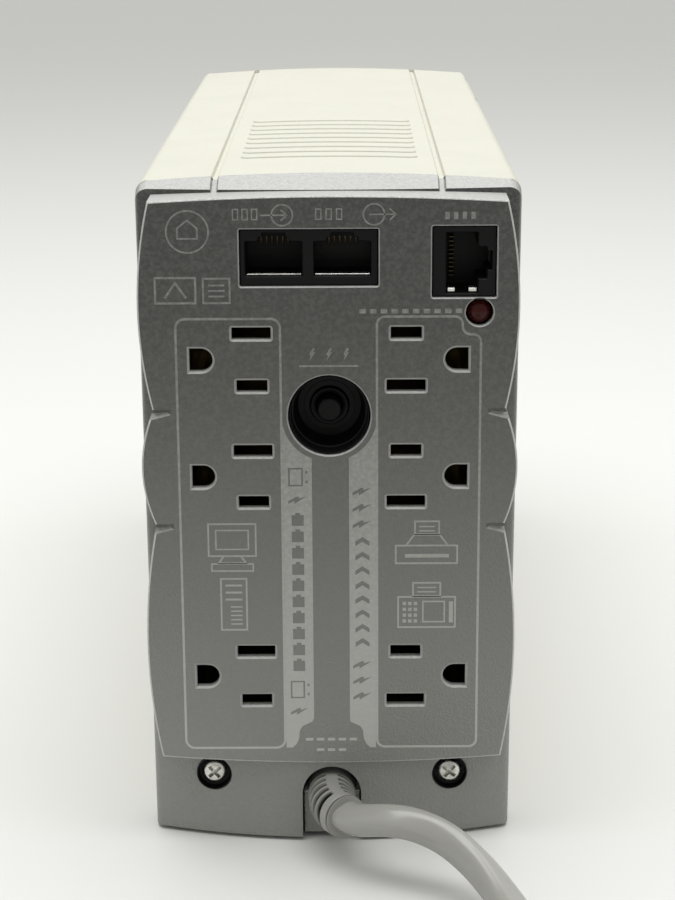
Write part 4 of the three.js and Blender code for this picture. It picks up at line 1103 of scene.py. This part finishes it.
def make_screw(side):
    """A pan head with a cross recess, over its washer face and shank."""
    x = side * SCREW_X
    head = [(0, 0.9), (1.2, 0.92), (2.1, 1.0), (2.6, 1.2), (2.9, 1.6), (3.0, 2.1), (3.0, 2.6), (1.7, 2.6),
            (1.7, 11.5), (0, 12.6)]
    depth_shift = rim_depth(x, SCREW_Z) - 0.2
    profile = [(radius, depth + depth_shift) for radius, depth in head]
    screw = lathe("rear_screw", profile, x, SCREW_Z, "zinc", on_rear, 48, 50.0)
    steps = ((0.12, depth_shift), (-0.22, depth_shift + 2.5))
    bars = []
    for degrees in (0, 90):
        angle = math.radians(degrees + (41 if side < 0 else 48))
        spun = [Vector((p.x * math.cos(angle) - p.y * math.sin(angle) + x * MM,
                        p.x * math.sin(angle) + p.y * math.cos(angle) + SCREW_Z * MM))
                for p in rectangle(-1.95, -0.46, 1.95, 0.46)]
        bars.append(prism("bar", spun, steps, "zinc", on_rear))
    return carve(screw, *bars)


def make_screw_recess_shade(side):
    """A black cup that the screw clamps, just inside its recess, standing in for the shade there."""
    start = rim_depth(side * SCREW_X, SCREW_Z) + 0.1
    profile = [(2.4, 5.9), (2.4, 6.15), (RECESS_R - 0.05, 6.15), (RECESS_R - 0.05, start),
               (RECESS_R - 0.3, start + 0.1), (RECESS_R - 0.35, start + 0.5), (RECESS_R - 0.5, 5.7),
               (RECESS_R - 0.8, 5.9), (2.4, 5.9)]
    return lathe("screw_cup", profile, side * SCREW_X, SCREW_Z, "black_plastic", on_rear)


# black cups standing in for the shade inside the screw recesses
settle(merge(make_screw_recess_shade(1), make_screw_recess_shade(-1), name="screw_recess_shade"), BODY, slot="black_plastic")

for screw_side, screw_name in ((1, "rear_screw_left"), (-1, "rear_screw_right")):
    settle(make_screw(screw_side), BODY, screw_name)

COLLAR = [(3.3, 13.0), (9.45, 13.0), (9.5, 12.8), (9.5, 0.9), (9.4, 0.75), (9.25, 0.75), (9.15, 0.9),
          (8.95, 4.6), (8.7, 4.75), (8.6, 8.6), (8.2, 9.8), (7.6, 10.6), (6.2, 10.6), (6.1, 10.45),
          (4.85, 10.45), (4.6, 10.2), (4.55, 9.5), (4.4, 9.3), (3.45, 9.3), (3.3, 9.4), (3.3, 13.0)]
settle(lathe("reset_well", COLLAR, 0, WELL_Z, "black_plastic", on_rear, 96), BODY, "breaker_collar")

RESET_BUTTON = [(0, 5.45), (2.3, 5.4), (2.65, 5.5), (2.85, 5.7), (2.95, 6.1), (2.95, 14.0), (0, 14.0)]
reset_button = lathe("reset_button_cap", RESET_BUTTON, 0, WELL_Z, "black_plastic", on_rear, 64)
settle(reset_button, "breaker_reset_button", "breaker_reset_button")

LAMP_DOME = [(0, 0.15), (0.7, 0.2), (1.35, 0.4), (1.95, 0.75), (2.45, 1.25), (2.75, 1.8), (2.9, 2.4),
             (3.0, 2.6), (3.0, 12.0), (0, 12.0)]
lamp = lathe("fault_lamp_lens", LAMP_DOME, LAMP_X, LAMP_Z, "lamp_red", on_rear, 64, 50.0)
settle(lamp, BODY, "wiring_fault_lamp")


# -------- jacks

PHONE_MIDDLES = (-3.3, 12.7)
PHONE_MOUTH = ((6.6, 0.0), (6.6, 8.0), (3.55, 8.0), (3.55, 9.0), (2.6, 9.0), (2.6, 10.05))
DATA_MOUTH = ((-27.5, 139.4), (-27.5, 153.6), (-34.8, 153.6), (-34.8, 150.2), (-36.9, 150.2), (-36.9, 149.2),
              (-38.1, 149.2), (-38.1, 144.9), (-36.9, 144.9), (-36.9, 142.8), (-34.8, 142.8), (-34.8, 139.4))
MOUTH_STEPS = ((0.28, 0.9), (0.05, 1.1), (0.0, 1.3), (0.0, 12.0))


def phone_mouth(middle, floor):
    """The stepped outline of a phone jack's mouth, with its latch slot on top."""
    right = [(middle + x, floor + h, 0.15) for x, h in PHONE_MOUTH]
    left = [(middle - x, floor + h, 0.15) for x, h in PHONE_MOUTH]
    return corners(*right, *left[::-1])


def make_jack(name, box, mouths):
    """A black block behind an opening of the panel, with mouths pressed into it."""
    x0, z0, x1, z1 = box
    body = stack(rectangle(x0 + 0.15, z0 + 0.15, x1 - 0.15, z1 - 0.15, 0.3), (-0.2, 0.9), (0, 1.1), (0, 19.0))
    pockets = [stack(mouth, *MOUTH_STEPS) for mouth in mouths]
    return solid_from_rings(name, [body], "black_plastic", on_rear, pockets=pockets)


def small_bar(x0, z0, x1, z1, depth0, depth1, slot, radius=0.1):
    """A flat metal bar inside a jack, between two depths behind the shield's face."""
    steps = ((-0.08, depth0), (0, depth0 + 0.08), (0, depth1))
    return prism("bar", rectangle(x0, z0, x1, z1, radius), steps, slot, on_rear)


WIRE_HALF = 0.14                     # half the thickness of a phone jack's wires


def phone_wire(x, roof):
    """A square wire that slopes down from a jack's roof and back up."""
    verts = [on_rear((x + dx) * MM, (z + dz) * MM, depth * MM)
             for depth, z in ((10.0, roof), (11.0, roof - 2.2), (11.9, roof - 0.8))
             for dx, dz in oblong(WIRE_HALF, WIRE_HALF)]
    return add_object("wire", verts, [*tube_faces(3, 4), (0, 1, 2, 3), (8, 9, 10, 11)], "contact_brass_shaded")


def make_contacts():
    """Six wires in each phone jack and ten flat contacts in the data jack, in brass darkened by painted
    shade.
    """
    wires = [phone_wire(middle + (k - 2.5) * 1.27, 151.2) for middle in PHONE_MIDDLES for k in range(6)]
    heights = [146.5 + (k - 4.5) * 1.02 for k in range(10)]
    wires += [small_bar(-29.6, z - 0.18, -28.4, z + 0.18, 9.6, 11.8, "contact_brass_shaded", 0.05) for z in heights]
    return merge(*wires, name="jack_contacts")


phone_mouths = [phone_mouth(middle, PHONE[1] + 2.4) for middle in PHONE_MIDDLES]
settle(make_jack("phone_jack_block", PHONE, phone_mouths), BODY, "phone_line_jack")
data_mouth = corners(*[(x, z, 0.15) for x, z in DATA_MOUTH])
settle(make_jack("data_jack_block", DATA, [data_mouth]), BODY, "data_jack")
settle(make_contacts(), BODY)

strips = [small_bar(m - 6.4, 143.6, m + 6.4, 143.9, 2.0, 4.0, "zinc") for m in PHONE_MIDDLES]
strips += [small_bar(x0, 139.6, x1, 140.45, 1.5, 4.0, "zinc") for x0, x1 in ((-29.5, -27.8), (-34.6, -32.7))]
settle(merge(*strips, name="jack_ground_strips"), BODY, slot="zinc")


# -------- printing on the rear panel

INK_OUT, INK_IN = -0.03, 0.05        # the ink's face stands just proud of the shield


def ink(*outlines):
    """A printed patch: the first outline, with the rest as holes in it."""
    loops = [stack(outline, (0, INK_OUT), (0, INK_IN)) for outline in outlines]
    return solid_from_rings("ink", loops, "ink", on_rear)


def stroke(points, wide, closed=False, round_corner=0.0):
    """A printed line of even width along (x, z) points, in millimetres."""
    line = corners(*[(x, z, round_corner) for x, z in points])
    one, other = [grown(line, half * MM, closed) for half in (wide / 2, -wide / 2)]
    if closed:
        return ink(*sorted((one, other), key=lambda side: -abs(area(side))))
    return ink(one + other[::-1])


def level_lines(x0, x1, heights, wide):
    """Printed level lines from x0 to x1, one at each height."""
    return [stroke([(x0, z), (x1, z)], wide) for z in heights]


def box_line(x0, z0, x1, z1, wide=0.42):
    """A printed box, drawn as a line."""
    return stroke([(x0, z0), (x1, z0), (x1, z1), (x0, z1)], wide, closed=True)


def ring_mark(x, z, radius, wide):
    """A printed ring."""
    return ink(circle(x, z, radius + wide / 2, 40), circle(x, z, radius - wide / 2, 40))


def moved(points, x, z, size=1.0):
    """The points at a size, about a new middle."""
    return [(px * size + x, pz * size + z) for px, pz in points]


def turned(points, x, z, size):
    """The points turned a quarter turn, as marks that read down the panel are."""
    return [(x + pz * size, z - px * size) for px, pz in points]


BOLT = [(-0.5, 0.2), (0.25, 1.5), (0.75, 1.5), (0.25, 0.5), (0.75, 0.5), (-0.55, -1.5), (-0.15, -0.2),
        (-0.5, -0.2)]
CHEVRON = [(-1.0, 0.35), (0.0, 1.0), (1.0, 0.35), (1.0, -0.35), (0.0, 0.3), (-1.0, -0.35)]
CELL = [(-0.9, -1.0), (0.9, -1.0), (0.9, 0.7), (0.35, 0.7), (0.35, 1.05), (-0.35, 1.05), (-0.35, 0.7),
        (-0.9, 0.7)]


FRAME_WIDE = 0.56


def make_frames():
    """The two outlined outlet groups; the right one steps round the wiring lamp."""
    left = [(35.9, 133.6), (11.4, 133.6), (11.4, 25.2), (35.9, 25.2)]
    right = [(-11.3, 134.0), (-11.3, 25.4), (-35.7, 25.4), (-35.7, 129.7), (-31.4, 129.7), (-31.4, 134.0)]
    return [stroke(left, FRAME_WIDE, closed=True, round_corner=2.2),
            stroke(right, FRAME_WIDE, closed=True, round_corner=1.9)]


def band_outline(side):
    """The filled band beside the middle: an arc round the reset well above, and a concave step below."""
    outer, inner = (11.1, 4.25) if side > 0 else (11.0, 4.6)
    reach = 11.3
    points = [(outer, 25.2)]
    for k in range(15):
        x = outer - (outer - inner) * (k / 14) ** 2
        points.append((x, WELL_Z - math.sqrt(max(reach ** 2 - x ** 2, 1.0))))
    points += [(inner, 33.2), (4.7, 32.1), (5.9, 31.5), (7.1, 30.9), (7.8, 29.8), (8.0, 27.6), (8.6, 26.2),
               (9.6, 25.2)]
    return in_metres([(side * x, z) for x, z in points])


def band_symbols(side):
    """The symbols left unprinted in a band, and the printed islands inside them."""
    middle = side * 7.75
    if side < 0:
        gaps = [turned(BOLT, middle, z, 1.55) for z in (91.5, 87.4, 83.3, 47.2, 43.1, 39.0)]
        return gaps + [moved(CHEVRON, middle, 78.2 - k * 3.7, 1.7) for k in range(8)], []
    gaps, islands = [], []
    for z in (95.0, 40.6):
        gaps.append(moved(oblong(1.75, 2.3), middle + 0.4, z))
        islands.append(moved(oblong(1.35, 1.9), middle + 0.4, z))
        gaps += [moved(oblong(0.25, 0.35), middle - 2.2, z + dz) for dz in (-1.2, 1.2)]
    gaps += [turned(BOLT, middle, z, 1.45) for z in (89.4, 35.0)]
    gaps += [moved(CELL, middle, 84.4 - k * 4.15, 1.6) for k in range(10)]
    return gaps, islands


def make_bands():
    """Both bands, with their symbols left unprinted so that the moulding shows through."""
    pieces = []
    for side in (1, -1):
        gaps, islands = band_symbols(side)
        pieces.append(ink(band_outline(side), *map(in_metres, gaps)))
        pieces += [ink(in_metres(island)) for island in islands]
    return pieces


def make_pictograms():
    """Plain pictures of what plugs in: a monitor, a tower, a printer and a fax."""
    monitor = [box_line(17.9, 75.2, 29.3, 83.3), box_line(19.7, 76.9, 27.5, 81.7, 0.36),
               stroke([(21.4, 75.0), (20.3, 73.4), (26.9, 73.4), (25.8, 75.0)], 0.42),
               box_line(18.6, 71.4, 28.6, 73.2, 0.38)]
    tower = [box_line(20.3, 56.3, 26.5, 69.4), *level_lines(21.4, 25.4, (67.7, 65.9, 64.1), 0.5),
             *level_lines(21.4, 24.2, (62.2, 61.1, 60.0, 58.9, 57.8), 0.35)]
    printer = [box_line(-30.6, 73.2, -15.8, 77.7), box_line(-26.2, 80.6, -20.4, 83.8),
               stroke([(-28.2, 77.9), (-26.4, 80.4), (-20.2, 80.4), (-18.4, 77.9)], 0.42),
               *level_lines(-28.6, -18.0, (75.1,), 0.9), *level_lines(-25.2, -21.4, (81.4, 82.5), 0.32)]
    keys = [(-20.6 + column * 1.35, 58.4 + row * 1.5) for row in range(4) for column in range(3)]
    fax = [box_line(-30.2, 56.8, -16.4, 64.6), box_line(-26.6, 64.8, -20.0, 68.2),
           stroke([(-29.2, 58.0), (-29.2, 63.4)], 1.0), box_line(-27.6, 58.2, -22.4, 63.4, 0.36),
           *[ink(in_metres(moved(oblong(0.42, 0.42), x, z))) for x, z in keys],
           *level_lines(-25.6, -21.0, (65.9, 67.0), 0.32)]
    return [*monitor, *tower, *printer, *fax]


def ringed_arrow(ring_x, tip_x, z):
    """A level arrow that starts in a ring beside a jack."""
    return [ring_mark(ring_x, z, 2.45, 0.36), *level_lines(tip_x + 6.1, tip_x + 0.1, (z,), 0.36),
            stroke([(tip_x + 1.4, z + 1.3), (tip_x, z), (tip_x + 1.4, z - 1.3)], 0.36)]


def make_small_marks():
    """Generic symbols by the jacks, and plain ones where the object has approval marks."""
    pieces = [*ringed_arrow(10.6, 9.5, 158.0), *ringed_arrow(-10.65, -15.7, 158.1)]
    house = [(30.3, 152.6), (34.9, 152.6), (34.9, 155.0), (32.6, 156.9), (30.3, 155.0)]
    pieces += [ring_mark(32.6, 154.2, 4.9, 0.4), stroke(house, 0.38, closed=True)]
    peak = [(33.2, 138.6), (35.7, 142.2), (38.2, 138.6)]
    pieces += [box_line(31.0, 137.4, 40.4, 143.4, 0.5), stroke(peak, 0.5)]
    pieces += [box_line(23.0, 137.4, 29.2, 143.2), *level_lines(24.2, 28.0, (139.0, 140.3, 141.6), 0.42)]
    pieces += [box_line(x, 157.0, x + 1.2, 159.4, 0.3) for x in (16.4, 18.6, 20.8, -3.2, -0.8, 1.6)]
    pieces += [ink(rectangle(x - 0.5, 156.9, x + 0.5, 158.6)) for x in (-33.6, -31.6, -29.6, -27.6)]
    for k in range(10):
        pieces += level_lines(-31.2 + k * 2.5, -29.7 + k * 2.5, (135.3,), 1.05)
    pieces += [ink(in_metres([(x - px, 125.0 + pz) for px, pz in BOLT])) for x in (-4.0, 0.0, 4.0)]
    pieces += level_lines(-7.0, 7.0, (122.2,), 0.4)
    for x in (-5.4, -2.7, 0.0, 2.7, 5.4):
        pieces += level_lines(x - 0.9, x + 0.9, (27.4, 24.6) if abs(x) < 5 else (27.4,), 0.7)
    return pieces


printing = [*make_frames(), *make_bands(), *make_pictograms(), *make_small_marks()]
settle(merge(*printing, name="rear_printing"), BODY)


# -------- front bezel

BEZEL_SEAM = 20.0                    # depth behind the front plane of the bezel's joint with the cover
FRONT_GROOVES = tuple(25.1 + 5.0 * k for k in range(6))
INSERT_HALF, INSERT_LOW, INSERT_HIGH = 17.0, 66.0, 134.0
SIDE_ROLL, TOP_ROLL = 12.0, 22.0     # how far in from the sides and the top the face starts to curve back
BUTTON_Z, BUTTON_R = 92.0, 9.0
LIGHT_ROWS, LIGHT_R = (108.0, 114.0, 120.0, 126.0), 1.8


def front_bow(x, z):
    """Depth of the front face behind its plane, in millimetres: bowed across, rolled over at the top."""
    side = half_width(z)
    bow = 1.2 * (x / side) ** 2
    past_start = abs(x) - (side - SIDE_ROLL)
    if past_start > 0:
        bow += 11.0 * (past_start / SIDE_ROLL) ** 5
    over = z - (crown(x) - TOP_ROLL)
    if over > 0:
        t = min(over / TOP_ROLL, 1.0)
        bow += 20.0 * (1.0 - math.sqrt(max(1.0 - t * t, 0.0)))
    low = 6.0 - z
    if low > 0:
        bow += 1.6 * (low / 6.0) ** 2
    return min(bow, BEZEL_SEAM - 0.4)


def bezel_point(share, drop, t, inset):
    """A point of the bezel's face as (x, z, depth) in millimetres: t is 0 at its foot and 1 on top."""
    top_x = share * half_width(SHOULDER_Z)
    top = crown(top_x) - drop - inset
    foot = 0.9 + inset
    z = foot + (top - foot) * t
    limit = half_width(z) - inset
    x = share * limit
    depth = front_bow(x, z) + inset
    if not inset:
        depth += groove_dip(x) * min(1.0, max(0.0, (z - 4.0) / 1.0))
        for middle in FRONT_GROOVES:
            off = abs(z - middle)
            if abs(x) < 20.0 and off < 1.4:
                wall = min(1.0, max(0.0, (1.35 - off) / 0.35)) * min(1.0, max(0.0, (20.0 - abs(x)) / 0.5))
                depth += 0.9 * wall
        depth += edge_rounding(foot + 0.5 - z, 0.5)
    return x, z, min(depth, BEZEL_SEAM - 0.2)


def bezel_levels():
    """Heights up the bezel, as shares, close together at the grooves and over the rolled top."""
    heights = {0.9, 1.0, 1.2, 1.5}
    heights |= {6.0 + 5.0 * k for k in range(28)}
    for middle in FRONT_GROOVES:
        heights |= {round(middle + off, 2) for off in (-1.4, -1.2, -1.0, -0.5, 0.5, 1.0, 1.2, 1.4)}
    levels = sorted((h - 0.9) / (SHOULDER_Z - 0.9) for h in heights if h < 143.0)
    levels += [1.0 - TOP_ROLL / SHOULDER_Z * (1.0 - math.sin(math.pi / 2 * k / 20)) for k in range(1, 21)]
    return sorted(set(round(v, 5) for v in levels))


def bezel_seam(share, drop, t, inset):
    """Where the bezel meets the cover, behind a point of its border."""
    x, z, _ = bezel_point(share, drop, t, inset)
    if t == 1.0 and not inset:
        z -= groove_dip(share * half_width(SHOULDER_Z))
    return x, z, BEZEL_SEAM - 0.1


def make_bezel():
    """The cream front: a bowed face with six cross grooves, rolled over on top, open for the insert."""
    groove_ends = [side * x for side in (-1, 1) for x in (19.4, 19.6, 19.8, 20.0, 20.2)]
    columns = sorted(cap_columns() + [(x / half_width(SHOULDER_Z), 0.0) for x in groove_ends])
    bezel = make_hollow("front_bezel_shell", columns, bezel_levels(), bezel_point, bezel_seam, "cream_shell",
                        on_front)
    opening = rectangle(-INSERT_HALF - 0.3, INSERT_LOW - 0.3, INSERT_HALF + 0.3, INSERT_HIGH + 0.3, 6.0)
    return carve(bezel, prism("opening", opening, ((0, -3), (0, 6)), "cream_shell", on_front))


def make_insert():
    """The dark control panel set into the bezel, with its button and light holes."""
    outer = stack(rectangle(-INSERT_HALF, INSERT_LOW, INSERT_HALF, INSERT_HIGH, 5.7), (-0.6, -0.7),
                  (-0.25, -0.6), (-0.05, -0.35), (0, 0.0), (0, 2.2))
    holes = [stack(circle(0, BUTTON_Z, BUTTON_R + 0.35, 72), (0.5, -0.7), (0.15, -0.6), (0, -0.3), (0, 2.2))]
    for z in LIGHT_ROWS:
        holes.append(stack(circle(0, z, LIGHT_R + 0.2, 32), (0.25, -0.7), (0.05, -0.6), (0, -0.5), (0, 2.2)))
    return solid_from_rings("control_insert", [outer, *holes], "insert_dark", on_front)


settle(make_bezel(), BODY, "front_bezel")
settle(make_insert(), BODY, "front_insert")

BUTTON_CAP = [(0, -1.55), (3.5, -1.62), (6.4, -1.85), (7.3, -2.05), (8.0, -2.1), (8.55, -1.95), (8.85, -1.6),
              (9.0, -1.1), (9.0, 3.5), (3.0, 3.5), (3.0, 11.0), (0, 11.0)]
button_cap = lathe("power_button_cap", BUTTON_CAP, 0, BUTTON_Z, "button_cream", on_front, 96)
settle(button_cap, "power_button", "power_button")

LIGHT_LENS = [(0, -1.5), (0.6, -1.45), (1.15, -1.25), (1.5, -0.95), (1.72, -0.5), (1.8, 0.0), (1.8, 13.0),
              (0, 13.0)]
for number, light_z in enumerate(LIGHT_ROWS, 1):
    node = f"status_light_{number}"
    lens = lathe(f"{node}_lens", LIGHT_LENS, 0, light_z, SLOT_OF[node], on_front, 48, 50.0)
    settle(lens, BODY, node)


def front_mark(outline, depth, slot):
    """A thin printed mark on the front, at a depth behind the front plane."""
    return prism("mark", outline, ((0, depth - 0.04), (0, depth + 0.1)), slot, on_front)


def arc(radius, degrees):
    """Points of an arc about the button's middle, by degrees clockwise from the top."""
    turns = [math.radians(d) for d in degrees]
    return [(radius * math.sin(a), BUTTON_Z + radius * math.cos(a)) for a in turns]


LIGHT_MARKS = (oblong(0.5, 1), BOLT, [(-1, -0.7), (1, -0.7), (0, 1)], oblong(1, 0.25))
light_symbols = [front_mark(in_metres(moved(shape, -6.5, z)), -0.7, "ink")
                 for z, shape in zip(LIGHT_ROWS, LIGHT_MARKS)]
settle(merge(*light_symbols, name="front_symbols"), BODY)
power_ring = arc(2.3, range(35, 330, 10)) + arc(1.85, range(325, 30, -10))
power_bar = rectangle(-0.22, BUTTON_Z + 0.6, 0.22, BUTTON_Z + 2.9)
power_symbol = [front_mark(outline, -1.6, "insert_dark") for outline in (in_metres(power_ring), power_bar)]
settle(merge(*power_symbol, name="button_symbol"), "power_button")


# -------- plug and coil tie

PLUG_Y, PLUG_Z = 358.0, 12.5
# places along the plug: x, half width, half height and how square the section is
PLUG_STATIONS = [(-6.0, 5.0, 5.0, 2.0), (-5.6, 5.5, 5.5, 2.0)]
for rib in range(6):
    for along, radius in ((0.0, 5.7), (1.5, 5.8), (1.8, 5.0), (2.6, 5.05)):
        radius += 0.22 * rib
        PLUG_STATIONS.append((-5.0 + rib * 2.9 + along, radius, radius, 2.0))
PLUG_STATIONS += [(12.6, 7.1, 7.1, 2.1), (16.0, 8.3, 7.9, 2.4), (19.0, 10.6, 9.6, 2.9),
                  (21.5, 12.6, 11.4, 3.4), (24.0, 13.3, 12.1, 4.0)]
for rib in range(5):
    for along, half_y in ((0.0, 13.4), (0.3, 12.7), (1.2, 12.7), (1.5, 13.4)):
        PLUG_STATIONS.append((26.0 + rib * 3.0 + along, half_y, 12.3, 4.5))
PLUG_STATIONS += [(43.0, 13.4, 12.3, 4.8), (48.5, 13.4, 12.3, 5.2), (51.0, 13.2, 12.1, 5.2),
                  (51.7, 12.8, 11.7, 5.2), (52.0, 12.2, 11.1, 5.2), (52.0, 0.01, 0.01, 2.0)]


def make_plug():
    """The plug's moulding: a ribbed tail that swells into a grip, closed flat at both ends."""
    sides = 72
    verts = []
    for x, half_y, half_z, power in PLUG_STATIONS:
        for k in range(sides):
            c, s = math.cos(2 * math.pi * k / sides), math.sin(2 * math.pi * k / sides)
            y = PLUG_Y + half_y * math.copysign(abs(c) ** (2 / power), c)
            z = PLUG_Z + half_z * math.copysign(abs(s) ** (2 / power), s)
            verts.append(mm(x, y, z))
    faces = [*tube_faces(len(PLUG_STATIONS), sides), tuple(range(sides))]
    return add_object("plug_moulding", verts, faces, "cord_grey", 40.0)


STRAP_Y = 0.2785                     # near edge of the strap, in metres


def make_tie():
    """A strap looped round the bundle of turns, with ridges along its top."""
    def across(x, z, depth):
        return Vector((x, STRAP_Y + depth, z))

    loops = [stack(rectangle(41.6, 0.1, 61.7, 28.2, 4.0), (-0.25, 0), (0, 0.25), (0, 10.75), (-0.25, 11.0)),
             stack(rectangle(42.9, 1.3, 60.4, 27.0, 3.0), (0.25, 0), (0, 0.25), (0, 10.75), (0.25, 11.0))]
    strap = solid_from_rings("coil_strap", loops, "tie_black", across)
    ridges = []
    for k in range(7):
        ridge = rectangle(45.65 + k * 1.8, 28.0, 46.35 + k * 1.8, 28.32, 0.1)
        ridges.append(prism("ridge", ridge, ((0, 1.2), (0, 9.8)), "tie_black", across))
    return merge(strap, *ridges)


plug = make_plug()
settle(plug, BODY, "plug_body")
tie = make_tie()
settle(tie, BODY, "cord_tie")


# -------- floor and light

def make_stage():
    """The plain pale floor."""
    bpy.ops.mesh.primitive_plane_add(size=60.0)
    floor = bpy.context.object
    floor.name = "floor"
    m = Material("floor")
    floor.data.materials.append(m.finish((0.735, 0.735, 0.722), 0.55, specular=0.3))


def area_light(name, place, aim, size, power):
    """A soft rectangular lamp at a place, aimed at a point."""
    data = bpy.data.lights.new(name, "AREA")
    data.shape = "RECTANGLE"
    data.size, data.size_y = size
    data.energy = power
    lamp = bpy.data.objects.new(name, data)
    bpy.context.scene.collection.objects.link(lamp)
    lamp.location = place
    lamp.rotation_euler = (Vector(aim) - Vector(place)).to_track_quat("-Z", "Y").to_euler()


def make_light():
    """A pale even world, a soft lamp overhead and one that lights the floor behind the object."""
    world = bpy.data.worlds.new("studio")
    bpy.context.scene.world = world
    world.use_nodes = True
    background = world.node_tree.nodes["Background"]
    background.inputs["Color"].default_value = (1.0, 1.0, 0.95, 1.0)
    background.inputs["Strength"].default_value = 0.55
    area_light("overhead", (0.0, 0.05, 1.25), (0.0, 0.05, 0.0), (1.6, 1.15), 17.5)
    area_light("backdrop", (0.0, -5.4, 2.8), (0.0, -5.4, 0.0), (14.0, 7.5), 87.0)
    bpy.context.scene.view_settings.view_transform = "Standard"


make_stage()
make_light()
